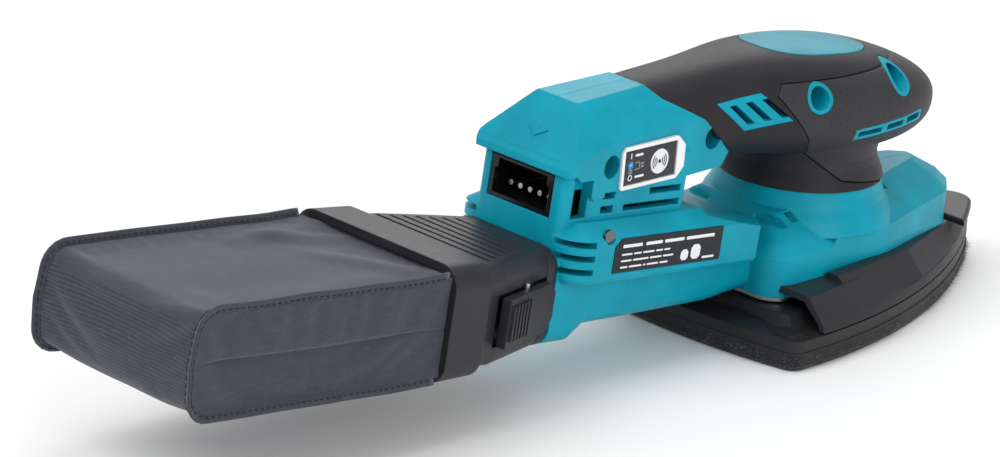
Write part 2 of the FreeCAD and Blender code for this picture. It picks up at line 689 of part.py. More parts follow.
def label_plate(grow, y0, y1):
    corners = [Vec(x, y0, z) for x, z in LABEL]
    face = Part.Face(Part.makePolygon(corners + corners[:1]))
    if grow > 0:
        face = face.makeOffset2D(grow)
    return face.extrude(Vec(0, y1 - y0, 0))


def label_pocket():
    return label_plate(0.3, -LOWER_HALF_WIDTH - 1, -LOWER_HALF_WIDTH + 0.5)


def switch_plan(inset, y0, y1):
    x0, x1, z0, z1 = SWITCH_BOX
    x0 += inset
    x1 -= inset
    z0 += inset
    z1 -= inset
    cut = 3.2 if inset < 1 else 0.8
    return side_prism([(x0, z0 + 0.6), (x0 + 0.6, z0), (x1 - cut, z0), (x1, z0 + cut), (x1, z1 - cut), (x1 - cut, z1),
                       (x0 + 1.6, z1), (x0, z1 - 1.6)], y0, y1)


def switch_pocket():
    return switch_plan(-0.1, -30, -12.5)


def socket_mouth():
    return box(REAR_FACE - 2, REAR_FACE + 4, -13.2, 13.2, 45.5, 58.9)


def build_fittings():
    put("rating_label", tilted(label_plate(0.0, -LOWER_HALF_WIDTH - 0.05, -LOWER_HALF_WIDTH + 0.45)))
    bezel = switch_plan(0.0, -SWITCH_FACE, -12.6)
    window = (SWITCH_BOX[0] + 1.2, SWITCH_BOX[1] - 3.6, SWITCH_BOX[2] + 1.2, SWITCH_BOX[3] - 1.2)
    bezel = bezel.cut(box(window[0], window[1], -30, -13.4, window[2], window[3]))
    pin_z = (window[2] + window[3]) / 2.0
    bezel = bezel.cut(lengthways(0.85, window[0] - 0.9, window[1] + 1.0, -15.6, pin_z))
    put("switch_bezel", bezel)
    gap = 0.35
    plate = box(window[0] + gap, window[1] - gap, -18.3, -16.3, window[2] + gap, window[3] - gap)
    plate = plate.fuse(lengthways(1.3, window[0] + gap, window[1] - gap, -15.6, pin_z))
    plate = plate.fuse(lengthways(0.8, window[0] - 0.7, window[1] + 0.8, -15.6, pin_z)).removeSplitter()
    put("switch_rocker", plate)
    board = box(-104, -80, -11.4, -10.6, 61.6, 71.5)
    put("switch_board", board)
    socket = tilted(box(REAR_FACE + 0.2, -116.2, -12.7, 12.7, 45.9, 58.5))
    hollow = box(REAR_FACE - 1, -119.0, -11.4, 11.4, 46.9, 54.6)
    notch = box(REAR_FACE - 1, -119.0, -10.2, 10.2, 54.5, 57.6)
    socket = socket.cut(tilted(hollow)).cut(tilted(notch))
    pins = []
    for index in range(5):
        y = 4.05 * (index - 2)
        socket = socket.cut(tilted(lengthways(0.9, -122, -116, y, 50.2)))
        rod = lengthways(0.9, -129.0, -115.0, y, 50.2)
        pins.append(tilted(rod))
    socket = socket.cut(crossways(BOSS_RADIUS + 0.3, -BOSS_REACH, BOSS_REACH, *BODY_SCREWS[0]))
    put("power_socket", socket)
    put("contact_pins", Part.makeCompound(pins))
    board = tilted(box(-120.0, -70.0, -21.0, 21.0, 36.4, 38.0))
    put("control_board", board)
    sink = [box(-108.0, -80.0, -12.0, 12.0, 38.0, 38.8)]
    for index in range(5):
        y = -11.0 + 5.2 * index
        sink.append(box(-108.0, -80.0, y, y + 1.2, 38.7, 41.2))
    put("heat_sink", tilted(union(sink)))
    strips = []
    for index in range(3):
        y = -4.0 + 4.0 * index
        strips.append(box(-104.0, -24.0, y - 1.0, y + 1.0, 61.5, 62.3))
    put("lead_strips", Part.makeCompound(strips))


def build_base_parts():
    outline = inset_corners(full_outline(BASE_OUTLINE), 0.9)
    plate = Part.Face(plan_wire(outline, 13.2)).extrude(Vec(0, 0, 1.4))
    plate = plate.cut(upright(23.0, 10, 20, MOTOR_X))
    plate = drill(plate, BASE_SCREWS, 1.3, 10, 20)
    plate = drill(plate, BASE_SCREWS, 2.7, 10, 14.2)
    plate = drill(plate, ISOLATORS, 5.6, 10, 20)
    put("base_plate", plate)
    posts = []
    for x, y in ISOLATORS:
        post = upright(4.6, 13.0, 24.6, x, y).cut(Part.makeTorus(5.4, 1.8, Vec(x, y, 18.5), Z_AXIS))
        posts.append(post)
    put("isolator_posts", Part.makeCompound(posts))


def shroud_bulge():
    """The long raised duct on one flank of the shroud."""
    sections = [
        (-20.0, [(-29.0, 17.0), (-31.5, 20.6), (-35.5, 20.6), (-45.0, 13.6), (-43.0, 11.6)]),
        (20.0, [(-24.0, 17.0), (-27.0, 20.4), (-30.5, 20.2), (-37.5, 13.4), (-36.0, 11.6)]),
        (58.0, [(-12.0, 16.5), (-13.5, 18.6), (-15.5, 18.4), (-20.5, 13.0), (-19.5, 11.6)]),
    ]
    wires = []
    for x, points in sections:
        corners = [Vec(x, y, z) for y, z in points]
        wires.append(Part.makePolygon(corners + corners[:1]))
    bulge = Part.makeLoft(wires, True, True)
    return round_edges(bulge, 1.3, lambda e: e.CenterOfMass.z > 16.5 and e.Length > 30)


def build_shroud():
    outer = Part.makeLoft([pad_face(0.5, 9.9).OuterWire, pad_face(1.6, 12.2).OuterWire, pad_face(9.5, 18.8).OuterWire],
                          True, True)
    inner = Part.makeLoft([pad_face(2.5, 9.8).OuterWire, pad_face(3.6, 11.6).OuterWire, pad_face(11.0, 16.8).OuterWire],
                          True, True)
    nose = pad_slab(-3.0, 7.0, 18.8, 5.0, 8.0).cut(pad_slab(-1.0, 6.0, 16.9, 5.0, 7.0)).common(box(62, 120, -60, 60, 0, 30))
    nose = round_edges(nose, 1.4, lambda e: e.CenterOfMass.z > 18.7)
    outer = outer.common(side_prism([(-41.5, 5), (-37.5, 25), (120, 25), (120, 5)], -80, 80))
    shell = union([outer, nose] + both_sides(shroud_bulge())).cut(inner)
    solid_base = Part.Face(plan_wire(full_outline(BASE_OUTLINE), 0)).extrude(Vec(0, 0, 40))
    shell = shell.cut(solid_base)
    pieces = sorted(shell.Solids, key=lambda piece: piece.Volume)
    put("front_shroud", pieces[-1])


# ---- bag and nozzle, in the level rear frame ----


def nozzle_stations(inset):
    low = PORT_CENTRE - NOZZLE_HALF_HEIGHT
    high = PORT_CENTRE + NOZZLE_HALF_HEIGHT
    return [
        (-183.0, 31.4 - inset, 8.2 + inset, 38.9 - inset, 6.0),
        (-174.0, 31.4 - inset, 8.2 + inset, 38.9 - inset, 6.0),
        (-166.0, 29.8 - inset, low + inset, high + 0.8 - inset, 6.0),
        (-150.0, 24.6 - inset, low + inset, high + 0.4 - inset, 6.0),
        (-139.0, NOZZLE_HALF_WIDTH - inset, low + inset, high - inset, 6.0),
    ]


def latch_frame(shape):
    """Place a shape drawn about the lever's pivot on the slanted right flank."""
    placed = shape.copy()
    placed.rotate(Vec(0, 0, 0), Z_AXIS, LATCH_ANGLE)
    placed.translate(Vec(LATCH_PIVOT[0], LATCH_PIVOT[1], 0))
    return placed


def latch_pocket():
    half = LATCH_LENGTH / 2.0
    return latch_frame(box(-half - 0.6, half + 0.5, -6.0, 3.4, LATCH_LOW - 0.5, LATCH_HIGH + 0.5))


def latch_tub():
    half = LATCH_LENGTH / 2.0
    return latch_frame(box(-half - 2.0, half + 1.8, -2.5, 5.0, LATCH_LOW - 2.1, LATCH_HIGH + 2.1))


def latch_lever():
    half = LATCH_LENGTH / 2.0
    plate = [Vec(-half, -0.2, LATCH_LOW), Vec(-half, -3.2, LATCH_LOW), Vec(half, -2.6, LATCH_LOW), Vec(half, -0.2, LATCH_LOW)]
    lever = Part.Face(Part.makePolygon(plate + plate[:1])).extrude(Vec(0, 0, LATCH_HIGH - LATCH_LOW))
    for low, sign in ((LATCH_LOW, 1), (LATCH_HIGH, -1)):
        wedge = [Vec(half + 1, -5, low), Vec(half - 4.5, -5, low - sign), Vec(half + 1, -5, low + sign * 4.5)]
        corner = Part.Face(Part.makePolygon(wedge + wedge[:1])).extrude(Vec(0, 9, 0))
        lever = lever.cut(corner)
    for index in range(6):
        x = -half + 1.6 + 2.1 * index
        lever = lever.fuse(box(x, x + 1.0, -4.0, -2.9, LATCH_LOW + 2.0, LATCH_HIGH - 2.0))
    knuckle = upright(2.1, LATCH_LOW + 1.0, LATCH_HIGH - 1.0)
    lever = lever.fuse(knuckle).removeSplitter().cut(upright(1.04, 0, 60))
    return latch_frame(lever)


def build_nozzle():
    outer = tube_loft(nozzle_stations(0.0))
    inner = tube_loft(nozzle_stations(2.0))
    tubs = both_sides(latch_tub())
    shell = outer.cut(inner)
    walls = union(tubs).common(outer)
    nozzle = union([shell, walls])
    for pocket in both_sides(latch_pocket()):
        nozzle = nozzle.cut(pocket)
    pin = latch_frame(upright(1.0, LATCH_LOW - 1.6, LATCH_HIGH + 1.6))
    for rod in both_sides(pin):
        nozzle = nozzle.cut(rod)
    for index in range(7):
        x = -168.5 + 4.0 * index
        half = 24.0 - 1.6 * index
        nozzle = nozzle.cut(box(x, x + 1.3, -half, half, 38.2 - 0.06 * index, 45))
    nozzle = nozzle.cut(port_spigot(0.2))
    put("nozzle_body", tilted(nozzle))
    put("latch_pins", Part.makeCompound([tilted(rod) for rod in both_sides(pin)]))
    lever = latch_lever()
    put("latch_right", tilted(lever))
    put("latch_left", tilted(mirrored(lever)))
    low = PORT_CENTRE - NOZZLE_HALF_HEIGHT
    high = PORT_CENTRE + NOZZLE_HALF_HEIGHT
    collar = tube_loft([(-138.9, NOZZLE_HALF_WIDTH, low, high, 6.0), (-135.5, NOZZLE_HALF_WIDTH - 0.3, low, high, 6.0),
                        (-133.9, NOZZLE_HALF_WIDTH - 1.2, low + 0.8, high - 0.8, 6.0)])
    collar = collar.cut(port_spigot(0.0))
    put("nozzle_collar", tilted(collar))
    seal = tube_loft([(-146.5, PORT_HALF_WIDTH + 1.9, PORT_CENTRE - 11.4, PORT_CENTRE + 11.4, 4.0),
                      (-144.9, PORT_HALF_WIDTH + 1.9, PORT_CENTRE - 11.4, PORT_CENTRE + 11.4, 4.0)])
    put("port_seal", tilted(seal.cut(port_spigot(-0.3))))


def build_bag():
    band = tube_loft([(FRAME_REAR, FRAME_HALF_WIDTH, 5.5, 41.5, 7.0), (FRAME_FRONT, FRAME_HALF_WIDTH - 0.6, 5.9, 41.1, 7.0)])
    band = round_edges(band, 1.0, lambda e: e.Length > 4 and e.CenterOfMass.x > FRAME_FRONT - 0.5)
    hole = tube_loft([(FRAME_REAR - 1, 31.4, 8.2, 38.9, 6.0), (FRAME_FRONT + 1, 31.4, 8.2, 38.9, 6.0)])
    put("bag_frame", tilted(band.cut(hole)))

    def cloth(inset, front, rear):
        return tube_loft([(rear, 33.6 - inset, 5.6 + inset, 39.6 - inset, 4.0),
                          (-283.0, 34.0 - inset, 5.2 + inset, 40.2 - inset, 4.0),
                          (-205.0, 33.8 - inset, 5.4 + inset, 41.2 - inset, 4.0),
                          (-191.6, 31.2 - inset, 8.4 + inset, 38.7 - inset, 6.2),
                          (front, 31.2 - inset, 8.4 + inset, 38.7 - inset, 6.2)])

    bag = cloth(0.0, -183.4, BAG_END).cut(cloth(CLOTH, -182.0, BAG_END + CLOTH))
    put("bag_cloth", tilted(bag))


if __name__ == "__main__":
    os.makedirs("parts", exist_ok=True)
    build_pad()
    build_drive()
    build_stator()
    build_base_parts()
    build_housing()
    build_fasteners()
    build_grip()
    build_fittings()
    build_shroud()
    build_nozzle()
    build_bag()
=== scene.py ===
"""Looks of a cordless orbital sander with a delta pad and a clip-on cloth dust bag.

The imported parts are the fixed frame. Each sub-assembly below dresses its own parts and adds the
pieces that only show: the sewn bag, the loop fibres of the pad, the printed marks and the seams.
Lengths are in metres. X points to the pad's tip, Y to the user's left, Z up.
"""

import enum
import logging
import math
import random
from dataclasses import dataclass, field

import bmesh
import bpy
import numpy as np
from mathutils import Matrix, Vector, noise


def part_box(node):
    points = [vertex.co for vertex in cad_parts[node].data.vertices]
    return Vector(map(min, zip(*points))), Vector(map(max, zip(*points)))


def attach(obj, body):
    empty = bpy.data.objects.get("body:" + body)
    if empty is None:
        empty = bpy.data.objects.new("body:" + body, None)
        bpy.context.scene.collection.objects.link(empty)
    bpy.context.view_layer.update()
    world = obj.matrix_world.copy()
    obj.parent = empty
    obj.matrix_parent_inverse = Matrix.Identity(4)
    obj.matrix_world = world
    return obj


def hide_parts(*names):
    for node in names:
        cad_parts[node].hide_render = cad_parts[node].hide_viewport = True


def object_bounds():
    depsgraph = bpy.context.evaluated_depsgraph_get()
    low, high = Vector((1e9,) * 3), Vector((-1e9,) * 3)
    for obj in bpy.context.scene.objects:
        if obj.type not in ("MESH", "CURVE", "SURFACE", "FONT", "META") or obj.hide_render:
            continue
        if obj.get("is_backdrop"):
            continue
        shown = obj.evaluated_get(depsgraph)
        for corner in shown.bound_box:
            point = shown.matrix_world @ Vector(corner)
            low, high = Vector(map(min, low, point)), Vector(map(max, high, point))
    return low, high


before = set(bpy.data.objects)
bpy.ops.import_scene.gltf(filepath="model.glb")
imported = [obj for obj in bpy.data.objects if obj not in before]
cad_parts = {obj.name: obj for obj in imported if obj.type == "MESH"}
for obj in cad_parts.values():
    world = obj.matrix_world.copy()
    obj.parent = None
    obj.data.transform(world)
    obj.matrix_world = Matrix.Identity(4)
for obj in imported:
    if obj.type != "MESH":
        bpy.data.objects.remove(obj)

LOG = logging.getLogger("sander")
MM = 0.001
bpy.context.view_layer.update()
Colour = tuple[float, float, float]
Point = tuple[float, float, float]


# ---------------------------------------------------------------- shader graphs
class Graph:
    """A thin wrapper over a node tree that places and links nodes."""

    def __init__(self, tree: bpy.types.NodeTree) -> None:
        """Start on an empty tree.

        Args:
            tree: The material's or group's node tree.
        """
        self.tree = tree
        tree.nodes.clear()

    def node(self, kind: str, settings: dict | None = None, **inputs: object) -> bpy.types.Node:
        """Add a node.

        Args:
            kind: The node's type name without the ShaderNode prefix.
            settings: Properties to set on the node itself.
            inputs: Values or sockets for its inputs, with underscores for spaces.

        Returns:
            The new node.
        """
        made = self.tree.nodes.new("ShaderNode" + kind)
        for key, value in (settings or {}).items():
            setattr(made, key, value)
        for key, value in inputs.items():
            name = key.replace("_", " ")
            self.feed(made.inputs[int(name[2:])] if name.startswith("in") and name[2:].isdigit()
                      else made.inputs[name], value)
        return made

    def feed(self, socket: bpy.types.NodeSocket, value: object) -> None:
        """Link or set one input.

        Args:
            socket: The input.
            value: A socket to link from, a number, or a tuple.
        """
        if isinstance(value, bpy.types.NodeSocket):
            self.tree.links.new(value, socket)
        elif isinstance(value, tuple) and socket.type == "RGBA" and len(value) == 3:
            socket.default_value = (*value, 1.0)
        else:
            socket.default_value = value

    def math(self, operation: str, a: object, b: object = 0.0, clamp: bool = False) -> bpy.types.NodeSocket:
        """Add a Math node.

        Args:
            operation: The node's operation.
            a: First input.
            b: Second input.
            clamp: Whether the result stays from 0 to 1.

        Returns:
            Its output.
        """
        return self.node("Math", {"operation": operation, "use_clamp": clamp}, in0=a, in1=b).outputs[0]

    def span(self, value: object, low: float, high: float, start: float = 0.0, end: float = 1.0) -> bpy.types.NodeSocket:
        """Map a value's range to another, clamped.

        Args:
            value: The socket to map.
            low: Where the input range starts.
            high: Where it ends.
            start: The output at low.
            end: The output at high.

        Returns:
            The mapped value.
        """
        made = self.node("MapRange", None, Value=value)
        for name, number in (("From Min", low), ("From Max", high), ("To Min", start), ("To Max", end)):
            made.inputs[name].default_value = number
        return made.outputs["Result"]

    def mix(self, factor: object, a: object, b: object, blend: str = "MIX") -> bpy.types.NodeSocket:
        """Mix two colours.

        Args:
            factor: How much of the second shows.
            a: First colour.
            b: Second colour.
            blend: The blend mode.

        Returns:
            The mixed colour.
        """
        made = self.node("Mix", {"data_type": "RGBA", "blend_type": blend})
        self.feed(made.inputs[0], factor)
        self.feed(made.inputs[6], a)
        self.feed(made.inputs[7], b)
        return made.outputs[2]

    def place(self) -> bpy.types.NodeSocket:
        """Coordinates fixed to the part, in metres.

        Returns:
            The Object output of a Texture Coordinate node.
        """
        return self.node("TexCoord").outputs["Object"]


def shader_group(name: str, inputs: dict[str, tuple[str, object]], outputs: dict[str, str]) -> tuple[
        bpy.types.NodeTree, Graph, bpy.types.Node, bpy.types.Node]:
    """Make an empty shader group with named sockets.

    Args:
        name: The group's name.
        inputs: For each input its socket type and its starting value.
        outputs: For each output its socket type.

    Returns:
        The group, its graph, its input node and its output node.
    """
    tree = bpy.data.node_groups.new(name, "ShaderNodeTree")
    for key, (kind, value) in inputs.items():
        socket = tree.interface.new_socket(key, in_out="INPUT", socket_type="NodeSocket" + kind)
        if value is not None:
            socket.default_value = value
    for key, kind in outputs.items():
        tree.interface.new_socket(key, in_out="OUTPUT", socket_type="NodeSocket" + kind)
    graph = Graph(tree)
    source = tree.nodes.new("NodeGroupInput")
    sink = tree.nodes.new("NodeGroupOutput")
    return tree, graph, source, sink


class SurfaceEffects:
    """The shader groups that several finishes share, each made once."""

    def __init__(self) -> None:
        """Make every group."""
        self.rounding = self._rounding()
        self.grain = self._grain()
        self.soil = self._soil()
        self.twill = self._twill()

    @staticmethod
    def _rounding() -> bpy.types.NodeTree:
        """Soft corners and a mask of the corners, where the finishes paint a highlight.

        Returns:
            The group: Radius in, Normal and Edge out.
        """
        tree, g, source, sink = shader_group(
            "soft_corners", {"Radius": ("Float", 0.0004)}, {"Normal": "Vector", "Edge": "Float"})
        bevel = g.node("Bevel", {"samples": 4}, Radius=source.outputs["Radius"])
        plain = g.node("NewGeometry").outputs["Normal"]
        dot = g.node("VectorMath", {"operation": "DOT_PRODUCT"}, in0=bevel.outputs[0], in1=plain).outputs["Value"]
        turn = g.math("SUBTRACT", 1.0, dot)
        g.feed(sink.inputs["Normal"], bevel.outputs[0])
        # Edge: how sharply the surface turns at a corner; the finishes paint a highlight there
        g.feed(sink.inputs["Edge"], g.span(turn, 0.02, 0.25))
        return tree

    @staticmethod
    def _grain() -> bpy.types.NodeTree:
        """Spark-eroded mould grain: fine bumps with slight tone change.

        Returns:
            The group: Size, Depth and Normal in, Normal and Tone out.
        """
        tree, g, source, sink = shader_group(
            "mould_grain",
            {"Size": ("Float", 0.0003), "Depth": ("Float", 0.00002), "Normal": ("Vector", None)},
            {"Normal": "Vector", "Tone": "Float"})
        place = g.place()
        scale = g.math("DIVIDE", 1.0, source.outputs["Size"])
        fine = g.node("TexNoise", None, Vector=place, Scale=scale, Detail=2.0, Roughness=0.6).outputs[0]
        cells = g.node("TexVoronoi", {"feature": "SMOOTH_F1"}, Vector=place,
                       Scale=g.math("MULTIPLY", scale, 0.8), Smoothness=0.6).outputs["Distance"]
        height = g.math("ADD", fine, g.math("MULTIPLY", cells, -0.5))
        bump = g.node("Bump", None, Strength=1.0, Distance=source.outputs["Depth"], Height=height,
                      Normal=source.outputs["Normal"])
        g.feed(sink.inputs["Normal"], bump.outputs[0])
        g.feed(sink.inputs["Tone"], g.span(height, 0.0, 0.7))
        return tree

    @staticmethod
    def _soil() -> bpy.types.NodeTree:
        """Slow tone changes, handling marks and a little dust in patches.

        Returns:
            The group: Size in, Tone and Marks out.
        """
        tree, g, source, sink = shader_group(
            "handling", {"Size": ("Float", 0.02)}, {"Tone": "Float", "Marks": "Float"})
        place = g.place()
        scale = g.math("DIVIDE", 1.0, source.outputs["Size"])
        slow = g.node("TexNoise", None, Vector=place, Scale=scale, Detail=3.0, Roughness=0.55).outputs[0]
        stretched = g.node("Mapping", None, Vector=place, Scale=(1.0, 1.0, 3.0)).outputs[0]
        marks = g.node("TexNoise", None, Vector=stretched, Scale=g.math("MULTIPLY", scale, 9.0), Detail=6.0,
                       Roughness=0.7).outputs[0]
        g.feed(sink.inputs["Tone"], g.span(slow, 0.3, 0.7))
        g.feed(sink.inputs["Marks"], g.span(marks, 0.52, 0.75))
        return tree

    @staticmethod
    def _twill() -> bpy.types.NodeTree:
        """A diagonal weave laid on each side of a box-like bag by the way the side faces.

        Returns:
            The group: Pitch, Across, Depth and Normal in, Normal and Tone out.
        """
        tree, g, source, sink = shader_group(
            "twill", {"Pitch": ("Float", 0.0009), "Depth": ("Float", 0.00008), "Across": ("Float", 0.0),
                      "Normal": ("Vector", None)}, {"Normal": "Vector", "Tone": "Float"})
        place = g.node("SeparateXYZ", None, Vector=g.place())
        facing = g.node("SeparateXYZ", None, Vector=g.node("NewGeometry").outputs["True Normal"])
        x, y, z = (place.outputs[i] for i in range(3))
        toward_y = g.math("GREATER_THAN", g.math("ABSOLUTE", facing.outputs[1]), 0.7)
        toward_x = g.math("GREATER_THAN", g.math("ABSOLUTE", facing.outputs[0]), 0.7)
        on_side = g.node("CombineXYZ", None, X=x, Y=z)
        on_end = g.node("CombineXYZ", None, X=y, Y=z)
        on_top = g.node("CombineXYZ", None, X=x, Y=y)
        flat = g.node("Mix", {"data_type": "VECTOR"})
        g.feed(flat.inputs[0], toward_y)
        g.feed(flat.inputs[4], on_top.outputs[0])
        g.feed(flat.inputs[5], on_side.outputs[0])
        where = g.node("Mix", {"data_type": "VECTOR"})
        g.feed(where.inputs[0], toward_x)
        g.feed(where.inputs[4], flat.outputs[1])
        g.feed(where.inputs[5], on_end.outputs[0])
        parts = g.node("SeparateXYZ", None, Vector=where.outputs[1])
        rate = g.math("DIVIDE", 2.0 * math.pi, source.outputs["Pitch"])
        u = g.math("MULTIPLY", parts.outputs[0], rate)
        v = g.math("MULTIPLY", parts.outputs[1], rate)
        diagonal = g.math("ADD", g.math("SINE", g.math("ADD", u, v)), 1.0)
        threads = g.math("ADD", g.math("SINE", g.math("MULTIPLY", v, 2.0)), 1.0)
        weave = g.math("ADD", g.math("MULTIPLY", diagonal, 0.35), g.math("MULTIPLY", threads, 0.15))
        ribs = g.math("MULTIPLY", g.math("ADD", g.math("SINE", g.math("MULTIPLY", v, 0.8)), 1.0), 0.5)
        share = g.math("MULTIPLY", source.outputs["Across"], toward_x)
        weave = g.math("ADD", g.math("MULTIPLY", weave, g.math("SUBTRACT", 1.0, share)),
                       g.math("MULTIPLY", ribs, share))
        fuzz = g.node("TexNoise", None, Vector=place.inputs[0].links[0].from_socket, Scale=2600.0, Detail=2.0).outputs[0]
        height = g.math("ADD", g.math("MULTIPLY", weave, 0.75), g.math("MULTIPLY", fuzz, 0.25))
        bump = g.node("Bump", None, Strength=1.0, Distance=source.outputs["Depth"], Height=height,
                      Normal=source.outputs["Normal"])
        g.feed(sink.inputs["Normal"], bump.outputs[0])
        # Tone: the weave's height, which the cloth uses to paint shade in the grooves and highlight on the ridges
        g.feed(sink.inputs["Tone"], g.span(height, 0.1, 0.9))
        return tree


EFFECTS = SurfaceEffects()


# ---------------------------------------------------------------- finishes
def principled(name: str) -> tuple[bpy.types.Material, Graph, bpy.types.Node]:
    """Start a material with a Principled shader.

    Args:
        name: The material's name.

    Returns:
        The material, its graph and its Principled node.
    """
    material = bpy.data.materials.new(name)
    material.use_nodes = True
    graph = Graph(material.node_tree)
    shader = graph.node("BsdfPrincipled")
    sink = graph.node("OutputMaterial")
    graph.feed(sink.inputs["Surface"], shader.outputs[0])
    return material, graph, shader


@dataclass(frozen=True)
class Moulded:
    """A moulded plastic or rubber: grain, soft corners, a painted highlight on the corners and slow tone changes."""

    name: str
    colour: Colour
    corner_highlight_colour: Colour
    roughness: float = 0.45
    grain_size: float = 0.35 * MM
    grain_depth: float = 0.02 * MM
    corner: float = 0.5 * MM
    speckle: float = 0.0
    sheen: float = 0.0
    specular: float = 0.26
    tone_change: float = 0.12

    def build(self) -> bpy.types.Material:
        """Build the material.

        Returns:
            The material.
        """
        material, g, shader = principled(self.name)
        corners = g.node("Group", {"node_tree": EFFECTS.rounding}, Radius=self.corner)
        grain = g.node("Group", {"node_tree": EFFECTS.grain}, Size=self.grain_size, Depth=self.grain_depth,
                       Normal=corners.outputs["Normal"])
        handling = g.node("Group", {"node_tree": EFFECTS.soil}, Size=18 * MM)
        dark = tuple(c * (1.0 - self.tone_change) for c in self.colour)
        light = tuple(min(1.0, c * (1.0 + self.tone_change)) for c in self.colour)
        base = g.mix(handling.outputs["Tone"], dark, light)
        base = g.mix(g.math("MULTIPLY", grain.outputs["Tone"], self.speckle), base,
                     tuple(min(1.0, c * 2.2 + 0.03) for c in self.colour))
        # painted highlight: the corners are mixed toward a paler colour, as if their fillets catch the light
        base = g.mix(g.math("MULTIPLY", corners.outputs["Edge"], 0.55), base, self.corner_highlight_colour)
        g.feed(shader.inputs["Base Color"], base)
        rough = g.math("ADD", self.roughness - 0.05, g.math("MULTIPLY", handling.outputs["Marks"], 0.1))
        rough = g.math("ADD", rough, g.math("MULTIPLY", grain.outputs["Tone"], 0.06))
        g.feed(shader.inputs["Roughness"], rough)
        g.feed(shader.inputs["Normal"], grain.outputs["Normal"])
        shader.inputs["Specular IOR Level"].default_value = self.specular
        shader.inputs["Sheen Weight"].default_value = self.sheen
        shader.inputs["Sheen Roughness"].default_value = 0.5
        return material


@dataclass(frozen=True)
class Metal:
    """A machined, plated or wound metal with turning marks, dulled corners and a painted highlight on them."""

    name: str
    colour: Colour
    roughness: float = 0.3
    brush: float = 0.25
    corner: float = 0.25 * MM

    def build(self) -> bpy.types.Material:
        """Build the material.

        Returns:
            The material.
        """
        material, g, shader = principled(self.name)
        corners = g.node("Group", {"node_tree": EFFECTS.rounding}, Radius=self.corner)
        handling = g.node("Group", {"node_tree": EFFECTS.soil}, Size=9 * MM)
        lines = g.node("TexNoise", None, Scale=220.0, Detail=4.0,
                       Vector=g.node("Mapping", None, Vector=g.place(), Scale=(1.0, 1.0, 16.0)).outputs[0]).outputs[0]
        dull = tuple(c * 0.7 for c in self.colour)
        base = g.mix(g.math("MULTIPLY", handling.outputs["Tone"], 0.5), self.colour, dull)
        # painted highlight: the corners are mixed toward a paler copy of the metal
        base = g.mix(g.math("MULTIPLY", corners.outputs["Edge"], 0.5), base,
                     tuple(min(1.0, c * 1.3) for c in self.colour))
        g.feed(shader.inputs["Base Color"], base)
        rough = g.math("ADD", self.roughness, g.math("MULTIPLY", g.math("SUBTRACT", lines, 0.5), self.brush))
        g.feed(shader.inputs["Roughness"], g.math("ADD", rough, g.math("MULTIPLY", handling.outputs["Marks"], 0.12)))
        bump = g.node("Bump", None, Strength=0.4, Distance=0.01 * MM, Height=lines, Normal=corners.outputs["Normal"])
        g.feed(shader.inputs["Normal"], bump.outputs[0])
        shader.inputs["Metallic"].default_value = 1.0
        return material


@dataclass(frozen=True)
class Woven:
    """A woven bag cloth with a soft sheen, painted shade in the weave's grooves, paler ridges and faint dust."""

    name: str
    colour: Colour
    pitch: float = 0.9 * MM
    depth: float = 0.09 * MM
    ribbed: float = 0.0

    def build(self) -> bpy.types.Material:
        """Build the material.

        Returns:
            The material.
        """
        material, g, shader = principled(self.name)
        weave = g.node("Group", {"node_tree": EFFECTS.twill}, Pitch=self.pitch, Depth=self.depth, Across=self.ribbed,
                       Normal=g.node("NewGeometry").outputs["Normal"])
        handling = g.node("Group", {"node_tree": EFFECTS.soil}, Size=30 * MM)
        dark = tuple(c * 0.68 for c in self.colour)
        light = tuple(min(1.0, c * 1.3) for c in self.colour)
        # painted shade and highlight: the colour follows the weave's height, darker in the grooves and paler on the
        # ridges
        base = g.mix(weave.outputs["Tone"], dark, light)
        base = g.mix(g.math("MULTIPLY", handling.outputs["Tone"], 0.22), base, dark)
        base = g.mix(g.math("MULTIPLY", handling.outputs["Marks"], 0.10), base, (0.30, 0.29, 0.28))
        g.feed(shader.inputs["Base Color"], base)
        g.feed(shader.inputs["Roughness"], g.math("ADD", 0.78, g.math("MULTIPLY", weave.outputs["Tone"], 0.15)))
        g.feed(shader.inputs["Normal"], weave.outputs["Normal"])
        shader.inputs["Sheen Weight"].default_value = 0.25
        shader.inputs["Sheen Roughness"].default_value = 0.45
        shader.inputs["Specular IOR Level"].default_value = 0.25
        return material


@dataclass(frozen=True)
class Film:
    """A printed film or lacquered mark: thin, fairly smooth, with slight handling haze."""

    name: str
    colour: Colour
    roughness: float = 0.35
    painted_glow: float = 0.0

    def build(self) -> bpy.types.Material:
        """Build the material.

        Returns:
            The material.
        """
        material, g, shader = principled(self.name)
        handling = g.node("Group", {"node_tree": EFFECTS.soil}, Size=6 * MM)
        base = g.mix(g.math("MULTIPLY", handling.outputs["Tone"], 0.25), self.colour,
                     tuple(c * 0.8 for c in self.colour))
        g.feed(shader.inputs["Base Color"], base)
        g.feed(shader.inputs["Roughness"], g.math("ADD", self.roughness,
                                                  g.math("MULTIPLY", handling.outputs["Marks"], 0.12)))
        # painted glow: the print is given emission in its own colour, so it shines though it is only ink
        if self.painted_glow > 0.0:
            g.feed(shader.inputs["Emission Color"], base)
            shader.inputs["Emission Strength"].default_value = self.painted_glow
        return material


